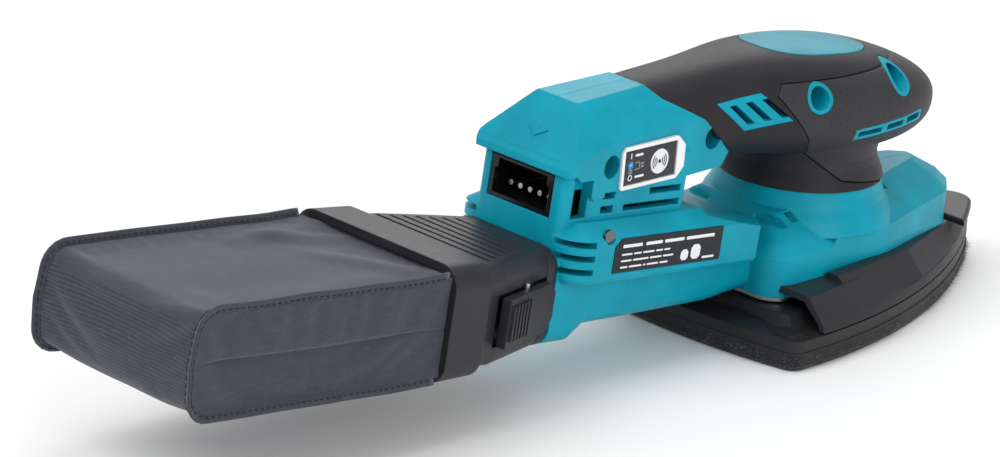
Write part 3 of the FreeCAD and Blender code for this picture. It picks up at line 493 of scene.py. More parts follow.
@dataclass(frozen=True)
class Fibre:
    """Loop fibres and foam: rough, broken in tone at a small scale."""

    name: str
    colour: Colour
    fleck: Colour
    size: float = 0.5 * MM
    depth: float = 0.2 * MM

    def build(self) -> bpy.types.Material:
        """Build the material.

        Returns:
            The material.
        """
        material, g, shader = principled(self.name)
        place = g.place()
        cells = g.node("TexVoronoi", None, Vector=place, Scale=1.0 / self.size)
        tangle = g.node("TexNoise", None, Vector=place, Scale=0.7 / self.size, Detail=6.0, Roughness=0.75).outputs[0]
        base = g.mix(g.span(tangle, 0.45, 0.7), self.colour, self.fleck)
        g.feed(shader.inputs["Base Color"], base)
        g.feed(shader.inputs["Roughness"], g.span(tangle, 0.2, 0.8, 0.85, 1.0))
        height = g.math("ADD", cells.outputs["Distance"], tangle)
        bump = g.node("Bump", None, Strength=1.0, Distance=self.depth, Height=height)
        g.feed(shader.inputs["Normal"], bump.outputs[0])
        shader.inputs["Sheen Weight"].default_value = 0.15
        shader.inputs["Specular IOR Level"].default_value = 0.2
        return material


TEAL: Colour = (0.001, 0.295, 0.400)
INK: Colour = (0.016, 0.016, 0.019)


class Finish(enum.Enum):
    """Every finish on the tool, by the part of it that wears it."""

    # For moulded finishes the second colour is a painted highlight on the corners.
    HOUSING = Moulded("teal_housing", TEAL, (0.03, 0.42, 0.54), 0.42, 0.30 * MM, 0.016 * MM, 0.6 * MM,
                       specular=0.16)
    GRIP = Moulded("grip_soft", (0.022, 0.0215, 0.025), (0.05, 0.05, 0.056), 0.46, 0.22 * MM, 0.010 * MM, 0.5 * MM,
                   sheen=0.01, specular=0.14)
    GRIP_PANEL = Moulded("grip_textured", (0.018, 0.018, 0.021), (0.045, 0.045, 0.052), 0.58, 0.42 * MM, 0.07 * MM,
                         0.6 * MM, speckle=0.5, sheen=0.04)
    BADGE = Moulded("badge", (0.03, 0.27, 0.35), (0.05, 0.36, 0.45), 0.42, 0.5 * MM, 0.004 * MM, 0.4 * MM,
                     specular=0.14)
    BLACK = Moulded("black_plastic", (0.021, 0.020, 0.0245), (0.045, 0.044, 0.051), 0.42, 0.34 * MM, 0.020 * MM,
                    0.5 * MM)
    PAD_PLATE = Moulded("pad_plastic", (0.017, 0.016, 0.018), (0.034, 0.034, 0.036), 0.48, 0.5 * MM, 0.02 * MM,
                        0.6 * MM)
    SOCKET = Moulded("socket_plastic", (0.006, 0.006, 0.007), (0.02, 0.02, 0.022), 0.18, 0.6 * MM, 0.006 * MM,
                     0.3 * MM)
    FAN = Moulded("fan_plastic", (0.10, 0.10, 0.11), (0.16, 0.16, 0.17), 0.4)
    RUBBER = Moulded("isolator_rubber", (0.012, 0.012, 0.013), (0.03, 0.03, 0.032), 0.7, 0.5 * MM, 0.03 * MM)
    BEZEL = Moulded("white_plastic", (0.83, 0.83, 0.83), (0.9, 0.9, 0.9), 0.34, 0.3 * MM, 0.006 * MM, 0.35 * MM,
                    tone_change=0.02)
    SWITCH = Moulded("switch_film", (0.030, 0.030, 0.037), (0.055, 0.055, 0.063), 0.30, 0.5 * MM, 0.004 * MM, 0.2 * MM)
    LABEL = Moulded("label_film", (0.011, 0.012, 0.015), (0.03, 0.03, 0.034), 0.30, 0.7 * MM, 0.003 * MM, 0.2 * MM)
    BOARD = Moulded("board", (0.01, 0.10, 0.045), (0.03, 0.18, 0.09), 0.35, 0.9 * MM, 0.02 * MM)
    PLATE = Metal("bright_plate", (0.62, 0.62, 0.63), 0.34)
    STEEL = Metal("steel", (0.46, 0.46, 0.48), 0.28)
    SCREW = Metal("screw_steel", (0.20, 0.20, 0.21), 0.36)
    ALUMINIUM = Metal("aluminium", (0.70, 0.71, 0.72), 0.38)
    COPPER = Metal("copper", (0.72, 0.33, 0.18), 0.32)
    MAGNET = Metal("magnet", (0.30, 0.30, 0.31), 0.40)
    PIN = Metal("pin_metal", (0.42, 0.42, 0.41), 0.28, brush=0.08)
    BAG = Woven("bag_fabric", (0.046, 0.050, 0.070), 0.95 * MM, 0.12 * MM)
    # The end panel's ribbed cloth is a little darker than BAG: painted shade on the face turned from the light.
    BAG_END = Woven("bag_end_fabric", (0.042, 0.045, 0.063), 0.92 * MM, 0.055 * MM, 1.0)
    BINDING = Woven("bag_binding", (0.042, 0.046, 0.065), 0.6 * MM, 0.07 * MM)
    THREAD = Fibre("sewing_thread", (0.022, 0.024, 0.032), (0.036, 0.038, 0.050), 0.15 * MM, 0.03 * MM)
    FOAM = Fibre("pad_foam", (0.016, 0.016, 0.018), (0.035, 0.035, 0.038), 0.6 * MM, 0.10 * MM)
    HOOK = Fibre("hook_fabric", (0.010, 0.010, 0.011), (0.17, 0.17, 0.175), 0.35 * MM, 0.25 * MM)
    FUZZ = Fibre("hook_fibre", (0.05, 0.05, 0.053), (0.36, 0.36, 0.37), 2.0 * MM, 0.02 * MM)
    MARK = Film("white_mark", (0.80, 0.81, 0.82), 0.40)
    LAMP = Film("blue_lamp", (0.02, 0.35, 0.85), 0.25, 0.9)
    GREY_MARK = Film("grey_mark", (0.35, 0.36, 0.38), 0.40)


class FinishShelf:
    """Builds each finish once and hands it out."""

    def __init__(self) -> None:
        """Start empty."""
        self._made: dict[Finish, bpy.types.Material] = {}

    def take(self, finish: Finish) -> bpy.types.Material:
        """Give the material of a finish.

        Args:
            finish: Which finish.

        Returns:
            Its material, built on first use.
        """
        if finish not in self._made:
            self._made[finish] = finish.value.build()
        return self._made[finish]

    def dress(self, nodes: dict[str, Finish]) -> None:
        """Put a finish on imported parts.

        Args:
            nodes: The finish of each part, by the part's name.
        """
        for name, finish in nodes.items():
            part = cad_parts[name]
            material = self.take(finish)
            if not part.material_slots:
                part.data.materials.append(material)
            for index in range(len(part.material_slots)):
                part.material_slots[index].link = "OBJECT"
                part.material_slots[index].material = material
            LOG.info("dressed %s with %s", name, material.name)


SHELF = FinishShelf()


# ---------------------------------------------------------------- mesh helpers
@dataclass(frozen=True)
class RearFrame:
    """The pitched frame of the tool's rear, where the duct, nozzle and bag are level."""

    pivot: Point = (-46 * MM, 0.0, 20 * MM)
    pitch: float = math.radians(5.2)

    def out(self, x: float, y: float, z: float) -> Vector:
        """Turn a point of the level frame into the tool's frame.

        Args:
            x: Along the level frame.
            y: Across.
            z: Up.

        Returns:
            The point on the tool.
        """
        dx, dz = x - self.pivot[0], z - self.pivot[2]
        return Vector((self.pivot[0] + dx * math.cos(self.pitch) + dz * math.sin(self.pitch), y,
                       self.pivot[2] - dx * math.sin(self.pitch) + dz * math.cos(self.pitch)))


REAR = RearFrame()


def piece(name: str, points: list, faces: list, finish: Finish, body: str, smooth: bool = True) -> bpy.types.Object:
    """Make a mesh piece that rides on a body.

    Args:
        name: The piece's name.
        points: Its corners.
        faces: Lists of corner numbers.
        finish: Its finish.
        body: The body it moves with.
        smooth: Whether its faces shade smoothly.

    Returns:
        The new object.
    """
    mesh = bpy.data.meshes.new(name)
    mesh.from_pydata([tuple(p) for p in points], [], faces)
    mesh.validate()
    if smooth:
        mesh.polygons.foreach_set("use_smooth", [True] * len(mesh.polygons))
    mesh.materials.append(SHELF.take(finish))
    made = bpy.data.objects.new(name, mesh)
    bpy.context.scene.collection.objects.link(made)
    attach(made, body)
    LOG.info("built %s with %d faces on %s", name, len(mesh.polygons), body)
    return made


def merge(parts: list[tuple[list, list]]) -> tuple[list, list]:
    """Join several point and face lists into one.

    Args:
        parts: Pairs of points and faces.

    Returns:
        One pair.
    """
    points: list = []
    faces: list = []
    for some, ones in parts:
        start = len(points)
        points += list(some)
        faces += [tuple(start + i for i in face) for face in ones]
    return points, faces


def prism(outline: list[tuple[float, float]], origin: Vector, u: Vector, v: Vector, rise: float,
          chamfer: float = 0.0) -> tuple[list, list]:
    """A thin raised mark: an outline in a plane, lifted along the plane's normal, with a small chamfer.

    Args:
        outline: Corners along u and v, turning left.
        origin: Where (0, 0) lies.
        u: First direction of the plane.
        v: Second direction of the plane.
        rise: How far it stands out.
        chamfer: How much smaller the top is.

    Returns:
        Its points and faces.
    """
    normal = u.cross(v).normalized()
    centre = Vector((sum(p[0] for p in outline) / len(outline), sum(p[1] for p in outline) / len(outline)))
    points, count = [], len(outline)
    for level, shrink in ((-0.4 * rise, 0.0), (rise - chamfer, 0.0), (rise, chamfer)):
        for a, b in outline:
            away = Vector((a, b)) - centre
            here = centre + away * (1.0 - shrink / max(away.length, 1e-6))
            points.append(origin + u * here.x + v * here.y + normal * level)
    faces: list = [tuple(range(2 * count, 3 * count)), tuple(reversed(range(count)))]
    for ring in (0, 1):
        for i in range(count):
            j = (i + 1) % count
            faces.append((ring * count + i, ring * count + j, (ring + 1) * count + j, (ring + 1) * count + i))
    return points, faces


def bar(x: float, y: float, width: float, height: float) -> list[tuple[float, float]]:
    """A rectangle with clipped corners.

    Args:
        x: Its left.
        y: Its bottom.
        width: Its width.
        height: Its height.

    Returns:
        Its corners, turning left.
    """
    c = 0.25 * min(width, height)
    return [(x + c, y), (x + width - c, y), (x + width, y + c), (x + width, y + height - c),
            (x + width - c, y + height), (x + c, y + height), (x, y + height - c), (x, y + c)]


def disc(x: float, y: float, radius: float, count: int = 28) -> list[tuple[float, float]]:
    """A circle's corners.

    Args:
        x: Centre.
        y: Centre.
        radius: Radius.
        count: How many corners.

    Returns:
        Its corners, turning left.
    """
    return [(x + radius * math.cos(2 * math.pi * i / count), y + radius * math.sin(2 * math.pi * i / count))
            for i in range(count)]


def arc_bars(x: float, y: float, radius: float, width: float, start: float, stop: float,
             steps: int = 10) -> list[list[tuple[float, float]]]:
    """An arc drawn as short overlapping quads.

    Args:
        x: Centre.
        y: Centre.
        radius: Middle radius.
        width: Line width.
        start: First angle in degrees.
        stop: Last angle in degrees.
        steps: How many quads.

    Returns:
        The quads' corners.
    """
    quads = []
    for i in range(steps):
        a = math.radians(start + (stop - start) * i / steps)
        b = math.radians(start + (stop - start) * (i + 1) / steps)
        near, far = radius - width / 2, radius + width / 2
        quads.append([(x + near * math.cos(a), y + near * math.sin(a)), (x + far * math.cos(a), y + far * math.sin(a)),
                      (x + far * math.cos(b), y + far * math.sin(b)), (x + near * math.cos(b), y + near * math.sin(b))])
    return quads


def sweep(path: list[Vector], across: list[Vector], up: list[Vector], section: list[tuple[float, float]]) -> tuple[
        list, list]:
    """Sweep a closed section along a path with given section axes, with both ends closed.

    Args:
        path: Points of the path.
        across: The section's first axis at each point.
        up: The section's second axis at each point.
        section: Its corners.

    Returns:
        Points and faces.
    """
    count = len(section)
    points = [p + a * s + b * t for p, a, b in zip(path, across, up) for s, t in section]
    faces: list = []
    for k in range(len(path) - 1):
        for i in range(count):
            j = (i + 1) % count
            faces.append((k * count + i, k * count + j, (k + 1) * count + j, (k + 1) * count + i))
    faces.append(tuple(reversed(range(count))))
    faces.append(tuple((len(path) - 1) * count + i for i in range(count)))
    return points, faces


def soft_section(width: float, height: float, count: int = 14, power: float = 3.0) -> list[tuple[float, float]]:
    """A rounded strip section, centred on its base.

    Args:
        width: Across.
        height: Up, from just below zero.
        count: Corners.
        power: How square it is.

    Returns:
        Its corners.
    """
    ring = []
    for i in range(count):
        a = 2 * math.pi * i / count
        c, s = math.cos(a), math.sin(a)
        ring.append((width / 2 * math.copysign(abs(c) ** (2 / power), c),
                     height / 2 + height / 2 * math.copysign(abs(s) ** (2 / power), s)))
    return ring


# ---------------------------------------------------------------- studio
@dataclass
class Studio:
    """The pale floor, the soft lights and the camera."""

    target: Point = (-0.08735, 0.04721, 0.02361)
    distance: float = 1.45344
    azimuth: float = 43.34
    elevation: float = 19.03
    roll: float = 5.108
    lens: float = 166.9
    floor_drop: float = 0.3 * MM
    lamps: list = field(default_factory=lambda: [
        ("key_light", (-1.1, 0.25, 1.15), 0.9, 8.5), ("side_light", (-0.35, -1.5, 0.6), 1.0, 9.0),
        ("top_light", (0.15, 0.1, 1.5), 1.1, 4.5), ("rim_light", (0.9, 0.9, 0.8), 0.8, 4.5)])

    def build(self) -> None:
        """Make everything in the studio."""
        bpy.context.scene.view_settings.view_transform = "Standard"
        self.floor()
        self.lights()
        self.camera()

    def floor(self) -> None:
        """A large plain floor just under the pad."""
        material, g, shader = principled("studio_floor")
        tone = g.node("TexNoise", None, Vector=g.place(), Scale=3.0, Detail=2.0).outputs[0]
        g.feed(shader.inputs["Base Color"], g.mix(tone, (0.92, 0.92, 0.92), (0.94, 0.94, 0.94)))
        shader.inputs["Roughness"].default_value = 0.85
        shader.inputs["Specular IOR Level"].default_value = 0.2
        mesh = bpy.data.meshes.new("floor")
        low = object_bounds()[0].z - self.floor_drop
        half = 12.0
        mesh.from_pydata([(-half, -half, low), (half, -half, low), (half, half, low), (-half, half, low)], [],
                         [(0, 1, 2, 3)])
        mesh.materials.append(material)
        floor = bpy.data.objects.new("floor", mesh)
        bpy.context.scene.collection.objects.link(floor)
        floor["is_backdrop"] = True

    def lights(self) -> None:
        """Soft area lamps aimed at the tool, over an even pale sky."""
        aim = Vector((-0.08, 0.0, 0.04))
        for name, place, size, power in self.lamps:
            lamp = bpy.data.lights.new(name, "AREA")
            lamp.size = size
            lamp.energy = power
            holder = bpy.data.objects.new(name, lamp)
            holder.location = place
            holder.rotation_mode = "QUATERNION"
            holder.rotation_quaternion = (aim - Vector(place)).to_track_quat("-Z", "Y")
            bpy.context.scene.collection.objects.link(holder)
        world = bpy.data.worlds.new("sky")
        world.use_nodes = True
        sky = world.node_tree.nodes["Background"]
        sky.inputs[0].default_value = (1.0, 1.0, 1.0, 1.0)
        sky.inputs[1].default_value = 0.62
        bpy.context.scene.world = world

    def camera(self) -> None:
        """The camera, set from its bearing, height angle and roll about the aim point."""
        a, e, r = (math.radians(t) for t in (self.azimuth, self.elevation, self.roll))
        ahead = Vector((math.cos(a) * math.cos(e), math.sin(a) * math.cos(e), -math.sin(e)))
        right = Vector((math.sin(a), -math.cos(a), 0.0))
        up = right.cross(ahead)
        turned = right * math.cos(r) + up * math.sin(r)
        upward = up * math.cos(r) - right * math.sin(r)
        data = bpy.data.cameras.new("camera")
        data.lens, data.sensor_width, data.sensor_fit = self.lens, 36.0, "HORIZONTAL"
        data.clip_start, data.clip_end = 0.05, 50.0
        holder = bpy.data.objects.new("camera", data)
        place = Vector(self.target) - ahead * self.distance
        holder.matrix_world = Matrix((
            (turned.x, upward.x, -ahead.x, place.x), (turned.y, upward.y, -ahead.y, place.y),
            (turned.z, upward.z, -ahead.z, place.z), (0.0, 0.0, 0.0, 1.0)))
        bpy.context.scene.collection.objects.link(holder)
        bpy.context.scene.camera = holder


# ---------------------------------------------------------------- sub-assemblies
@dataclass
class Housing:
    """The teal clamshell with its screws, printed label and roof mark."""

    label_low: Point = (-112.5, 31.6, 0.0)
    arrow_top: Point = (-125.0, 0.0, 78.2)

    def dress(self) -> None:
        """Give the housing's parts their finishes."""
        SHELF.dress({
            "housing_left": Finish.HOUSING, "housing_right": Finish.HOUSING, "housing_screws": Finish.SCREW,
            "rear_screws": Finish.SCREW, "base_screws": Finish.SCREW, "rating_label": Finish.LABEL,
            "isolator_posts": Finish.RUBBER, "port_seal": Finish.RUBBER, "base_plate": Finish.PLATE,
            "control_board": Finish.BOARD, "heat_sink": Finish.ALUMINIUM, "lead_strips": Finish.COPPER,
        })

    def build(self) -> None:
        """Build the roof mark and the label's print."""
        self.roof_mark()
        self.label_print()

    def roof_mark(self) -> None:
        """A small raised triangle on the roof's rear slope."""
        down = Vector((-13.1, 0.0, -16.3)).normalized()
        across = Vector((0.0, -1.0, 0.0))
        origin = Vector((-126.3 * MM, 0.0, 74.65 * MM))
        outline = [(0.0, 0.0), (3.9 * MM, 2.9 * MM), (-3.9 * MM, 2.9 * MM)]
        points, faces = prism(outline, origin, across, -down, 0.5 * MM, 0.12 * MM)
        piece("roof_mark", points, faces, Finish.HOUSING, "housing", smooth=False)

    def label_print(self) -> None:
        """Rows of plain bars and blank boxes in place of the label's wording."""
        face = -26.05 * MM
        rows = [
            (40.0 - 1.9, 1.0, [(0.0, 8.6), (10.2, 7.4), (18.6, 8.8), (28.4, 12.8)]),
            (40.0 - 4.3, 0.55, [(0.0, 4.6), (5.3, 3.4), (9.4, 5.0), (15.2, 3.0), (18.9, 2.6)]),
            (40.0 - 6.3, 0.55, [(0.0, 4.6), (5.3, 6.8), (12.8, 5.2), (18.7, 4.6)]),
            (40.0 - 8.3, 0.55, [(0.0, 3.2), (3.9, 5.6), (10.2, 1.0), (11.9, 5.0), (17.6, 3.6)]),
        ]
        marks = []
        for low, height, runs in rows:
            for start, length in runs:
                marks.append(bar((start - 112.8) * MM, low * MM, length * MM, height * MM))
        for start, low, width, height in ((-86.0, 31.6, 3.4, 3.4), (-81.4, 31.6, 4.2, 4.6), (-76.0, 31.4, 5.4, 0.7)):
            marks.append(bar(start * MM, low * MM, width * MM, height * MM))
        parts = []
        for outline in marks:
            u = (REAR.out(1.0, 0.0, 0.0) - REAR.out(0.0, 0.0, 0.0)).normalized()
            v = (REAR.out(0.0, 0.0, 1.0) - REAR.out(0.0, 0.0, 0.0)).normalized()
            origin = REAR.out(0.0, face, 0.0)
            parts.append(prism(outline, origin, u, v, 0.03 * MM))
        points, faces = merge(parts)
        piece("label_print", points, faces, Finish.MARK, "housing", smooth=False)


@dataclass
class GripCover:
    """The moulded-on dark grip with its panels and badge."""

    def dress(self) -> None:
        """Give the grip's parts their finishes."""
        SHELF.dress({"grip_top": Finish.GRIP, "grip_panel_left": Finish.GRIP_PANEL,
                     "grip_panel_right": Finish.GRIP_PANEL, "top_badge": Finish.BADGE})


@dataclass
class SwitchPanel:
    """The rocker switch with its white bezel and printed signs."""

    left: float = -104.9 * MM
    low: float = 60.55 * MM
    face: float = -18.3 * MM
    rise: float = 0.05 * MM

    def dress(self) -> None:
        """Give the switch's and the socket's parts their finishes."""
        SHELF.dress({"switch_bezel": Finish.BEZEL, "switch_rocker": Finish.SWITCH, "switch_board": Finish.BOARD,
                     "power_socket": Finish.SOCKET, "contact_pins": Finish.PIN})

    def signs(self, name: str, outlines: list[list[tuple[float, float]]], finish: Finish, lift: float = 0.0) -> None:
        """Print outlines on the rocker's face.

        Args:
            name: The piece's name.
            outlines: Corners in millimetres from the rocker's lower rear corner.
            finish: The print's finish.
            lift: Extra height over the face.
        """
        origin = Vector((self.left, self.face - lift, self.low))
        parts = [prism([(x * MM, z * MM) for x, z in outline], origin, Vector((1, 0, 0)), Vector((0, 0, 1)), self.rise)
                 for outline in outlines]
        points, faces = merge(parts)
        piece(name, points, faces, finish, "switch", smooth=False)

    def build(self) -> None:
        """Print the on and off signs, the lamp sign with a painted glow, its brackets and the round pulse sign."""
        on_off = [bar(2.3, 7.9, 0.38, 1.7)] + arc_bars(2.5, 1.9, 0.78, 0.32, 0, 360, 24)
        on_off += [bar(4.2, 8.35, 3.4, 0.75), bar(4.6, 1.5, 4.0, 0.75)]
        self.signs("switch_signs", on_off, Finish.MARK)
        rays = [disc(2.5, 5.9, 0.5, 20)]
        for i in range(8):
            a = math.pi * i / 4
            c, s = math.cos(a), math.sin(a)
            near, far, half = 0.7, 1.15, 0.13
            rays.append([(2.5 + c * near + s * half, 5.9 + s * near - c * half),
                         (2.5 + c * far + s * half, 5.9 + s * far - c * half),
                         (2.5 + c * far - s * half, 5.9 + s * far + c * half),
                         (2.5 + c * near - s * half, 5.9 + s * near + c * half)])
        # the lamp sign is printed ink with a painted glow
        self.signs("switch_lamp_sign", rays, Finish.LAMP)
        brackets = [bar(4.2, 6.3, 2.2, 0.22), bar(4.2, 4.2, 2.2, 0.22), bar(6.2, 4.2, 0.22, 2.3),
                    bar(7.0, 4.6, 1.1, 0.5), bar(7.0, 5.5, 1.1, 0.5)]
        brackets += [bar(1.7, 3.2 + 0.55 * i, 1.6, 0.26) for i in range(3)]
        self.signs("switch_brackets", brackets, Finish.GREY_MARK)
        self.signs("pulse_disc", [disc(15.2, 5.1, 3.9, 40)], Finish.MARK)
        waves = [disc(15.2, 5.1, 0.62, 20)]
        for radius in (1.35, 2.15, 2.95):
            waves += arc_bars(15.2, 5.1, radius, 0.36, -42, 42, 8)
            waves += arc_bars(15.2, 5.1, radius, 0.36, 138, 222, 8)
        self.signs("pulse_waves", waves, Finish.SWITCH, self.rise)


@dataclass
class SandingPad:
    """The delta pad: plate, foam, loop facing and its loose loop fibres."""

    fibres: int = 12000
    longest: float = 2.3 * MM
    seed: int = 7

    def dress(self) -> None:
        """Give the pad's and shroud's parts their finishes."""
        SHELF.dress({"pad_plate": Finish.PAD_PLATE, "pad_foam": Finish.FOAM, "hook_face": Finish.HOOK,
                     "front_shroud": Finish.BLACK, "pad_screws": Finish.SCREW, "pad_bearing_race": Finish.STEEL,
                     "pin_bearing_balls": Finish.STEEL, "bearing_carrier": Finish.ALUMINIUM})

    def outline(self) -> list[Vector]:
        """The loop facing's outline, in order round the pad.

        Returns:
            Its corners at mid height.
        """
        low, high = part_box("hook_face")
        found = {}
        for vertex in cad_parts["hook_face"].data.vertices:
            angle = math.atan2(vertex.co.y, vertex.co.x - 10 * MM)
            key = round(math.degrees(angle))
            if key not in found or vertex.co.xy.length > found[key][1].xy.length:
                found[key] = (angle, vertex.co.copy())
        ring = [p for _, p in sorted(found.values(), key=lambda item: item[0])]
        middle = (low.z + high.z) / 2
        return [Vector((p.x, p.y, middle)) for p in ring]

    def build(self) -> None:
        """Scatter short curled fibres round the edge of the loop facing."""
        chance = random.Random(self.seed)
        ring = self.outline()
        lengths = [(ring[(i + 1) % len(ring)] - p).length for i, p in enumerate(ring)]
        total = sum(lengths)
        points: list[Vector] = []
        faces: list = []
        for _ in range(self.fibres):
            along = chance.random() * total
            index = 0
            while along > lengths[index]:
                along -= lengths[index]
                index += 1
            start = ring[index]
            stop = ring[(index + 1) % len(ring)]
            here = start.lerp(stop, along / lengths[index])
            run = (stop - start).normalized()
            outward = Vector((run.y, -run.x, 0.0))
            height = chance.uniform(0.05, 4.2) * MM
            here = here + outward * (0.45 if height > 1.6 * MM else -0.3) * MM
            here.z = height
            length = self.longest * (0.35 + 0.65 * chance.random() ** 2)
            lean = outward + run * chance.uniform(-0.9, 0.9) + Vector((0, 0, chance.uniform(-0.25, 0.7)))
            lean.normalize()
            curl = Vector((chance.uniform(-1, 1), chance.uniform(-1, 1), chance.uniform(-0.3, 1.0))) * 0.45
            thick = lean.cross(Vector((0, 0, 1))).normalized() * chance.uniform(0.06, 0.11) * MM
            mid = here + lean * length * 0.55
            tip = here + lean * length + curl * length
            tip.z = max(tip.z, 0.05 * MM)
            base = len(points)
            points += [here - thick, here + thick, mid - thick * 0.8, mid + thick * 0.8, tip]
            faces += [(base, base + 1, base + 3, base + 2), (base + 2, base + 3, base + 4)]
        piece("loop_fibres", points, faces, Finish.FUZZ, "pad")


@dataclass
class MotorDrive:
    """The motor, fan, balance weight and eccentric inside the tool."""

    def dress(self) -> None:
        """Give the drive's parts their finishes."""
        SHELF.dress({
            "motor_shaft": Finish.STEEL, "rotor_core": Finish.STEEL, "rotor_magnets": Finish.MAGNET,
            "eccentric_hub": Finish.STEEL, "pin_bearing_race": Finish.STEEL, "counterweight": Finish.STEEL,
            "dust_fan": Finish.FAN, "stator_core": Finish.STEEL, "stator_coils": Finish.COPPER,
            "lower_bearing": Finish.STEEL, "upper_bearing": Finish.STEEL, "bearing_plate": Finish.ALUMINIUM})


@dataclass
class DustNozzle:
    """The black nozzle with its clip levers and the bag's frame."""

    def dress(self) -> None:
        """Give the nozzle's parts their finishes."""
        SHELF.dress({"nozzle_body": Finish.BLACK, "nozzle_collar": Finish.BLACK, "latch_left": Finish.BLACK,
                     "latch_right": Finish.BLACK, "bag_frame": Finish.BLACK, "latch_pins": Finish.STEEL})


class Side(enum.Enum):
    """Which flank of the bag."""

    RIGHT = -1
    LEFT = 1


@dataclass
class DustBag:
    """The sewn bag: a strip that wraps the top, end and bottom, two gussets and upright hems."""

    mouth: float = -186.5 * MM
    rear: float = -288.6 * MM
    top: float = 38.2 * MM
    bottom: float = 8.0 * MM
    half: float = 31.6 * MM
    bend: float = 7.0 * MM
    hem_start: float = -191.3 * MM
    hem_height: float = 2.9 * MM
    along: int = 46
    upright: int = 18
    across: int = 34
    frames: int = 18
    cap: float = 1.5 * MM

    def profile(self) -> list[tuple[float, float]]:
        """The wrap's line in side view, from the frame over the top, down the end and back under.

        Returns:
            Level-frame (x, z) points: along + upright + along + 1 of them.
        """
        line = []
        raw = [(self.mouth, self.top + 0.45 * MM), (self.mouth - 5 * MM, self.top + 0.4 * MM),
               (self.mouth - 18 * MM, self.top)]
        for i in range(13):
            a = math.radians(90 + 90 * i / 12)
            raw.append((self.rear + self.bend + self.bend * math.cos(a), self.top - self.bend + self.bend * math.sin(a)))
        raw.append((self.rear - 0.8 * MM, (self.top + self.bottom) / 2))
        for i in range(13):
            a = math.radians(180 + 90 * i / 12)
            raw.append((self.rear + self.bend + self.bend * math.cos(a),
                        self.bottom + self.bend + self.bend * math.sin(a)))
        raw += [(self.mouth - 18 * MM, self.bottom), (self.mouth, self.bottom + 0.5 * MM)]
        steps = [0.0]
        for (a, b), (c, d) in zip(raw, raw[1:]):
            steps.append(steps[-1] + math.hypot(c - a, d - b))
        corner = math.pi * self.bend / 4
        stops = [0.0, steps[3] + corner, steps[-3] - corner, steps[-1]]
        counts = [self.along, self.upright, self.along]
        for part in range(3):
            for i in range(counts[part]):
                share = i / counts[part]
                if part == 1:
                    share = self.rows()[i]
                line.append(stops[part] + (stops[part + 1] - stops[part]) * share)
        line.append(stops[3])
        xs, zs = zip(*raw)
        return [(float(np.interp(s, steps, xs)), float(np.interp(s, steps, zs))) for s in line]

    def rows(self) -> list[float]:
        """Shares of the height where the gusset's rows lie, close together beside the middle crease.

        Returns:
            upright + 1 shares from 0 to 1.
        """
        half = self.upright // 2
        upper = [0.5 * (1.0 - (1.0 - i / (half - 1)) ** 1.0) * 0.965 for i in range(half)]
        return upper + [0.5] + [1.0 - share for share in reversed(upper)]

    def shell(self) -> tuple[list[Vector], list, dict[str, list]]:
        """The sewn shell in one mesh, so that its panels share their seam points.

        Returns:
            Points, faces and the named lists of points and faces.
        """
        line = self.profile()
        points: list[Vector] = []
        faces: list = []
        width = self.across
        count = len(line)
        for x, z in line:
            narrow = 0.4 * MM * max(0.0, 1.0 - (self.mouth - x) / (14 * MM))
            for j in range(width + 1):
                share = 2.0 * j / width - 1.0
                points.append(Vector((x, share * (self.half - narrow), z)))
        for i in range(count - 1):
            for j in range(width):
                a = i * (width + 1) + j
                faces.append((a, a + 1, a + width + 2, a + width + 1))
        wrap_faces = len(faces)
        seams, grids, fronts = {}, {}, list(range(width + 1)) + [(count - 1) * (width + 1) + j for j in range(width + 1)]
        for side in Side:
            column = 0 if side is Side.RIGHT else width
            seam = [i * (width + 1) + column for i in range(count)]
            seams[side] = seam
            top = seam[:self.along + 1]
            end = seam[self.along:self.along + self.upright + 1]
            under = list(reversed(seam[self.along + self.upright:]))
            rows = self.rows()
            grid = []
            for j in range(self.upright + 1):
                row = []
                for i in range(self.along + 1):
                    if j == 0:
                        row.append(top[i])
                    elif j == self.upright:
                        row.append(under[i])
                    elif i == self.along:
                        row.append(end[j])
                    else:
                        s, t = i / self.along, rows[j]
                        first = points[top[0]].lerp(points[under[0]], t)
                        spot = (points[top[i]] * (1 - t) + points[under[i]] * t + first * (1 - s) + points[end[j]] * s
                                - (points[top[0]] * (1 - t) * (1 - s) + points[end[0]] * (1 - t) * s
                                   + points[under[0]] * t * (1 - s) + points[end[-1]] * t * s))
                        row.append(len(points))
                        points.append(self.gusset_spot(spot, s, t, side))
                grid.append(row)
            grids[side] = grid
            for j in range(self.upright):
                for i in range(self.along):
                    quad = (grid[j][i], grid[j][i + 1], grid[j + 1][i + 1], grid[j + 1][i])
                    faces.append(quad if side is Side.LEFT else tuple(reversed(quad)))
            fronts += [row[0] for row in grid]
        return points, faces, {"seams": seams, "fronts": sorted(set(fronts)), "wrap_faces": wrap_faces, "grids": grids}

    def gusset_spot(self, spot: Vector, s: float, t: float, side: Side) -> Vector:
        """Draw a gusset's point in between its seams and into its middle crease.

        Args:
            spot: The flat place.
            s: Share along, 0 at the frame.
            t: Share down.
            side: Which gusset.

        Returns:
            The point.
        """
        ends = min(1.0, s * 5.0) * min(1.0, (1.0 - s) * 8.0)
        off = abs(t - 0.5)
        crease = math.exp(-(off / 0.012) ** 2)
        dish = min(1.0, (0.5 - off) * 14.0)
        depth = (1.1 * MM * dish + 1.7 * MM * crease) * ends
        return Vector((spot.x, spot.y - side.value * depth, spot.z))

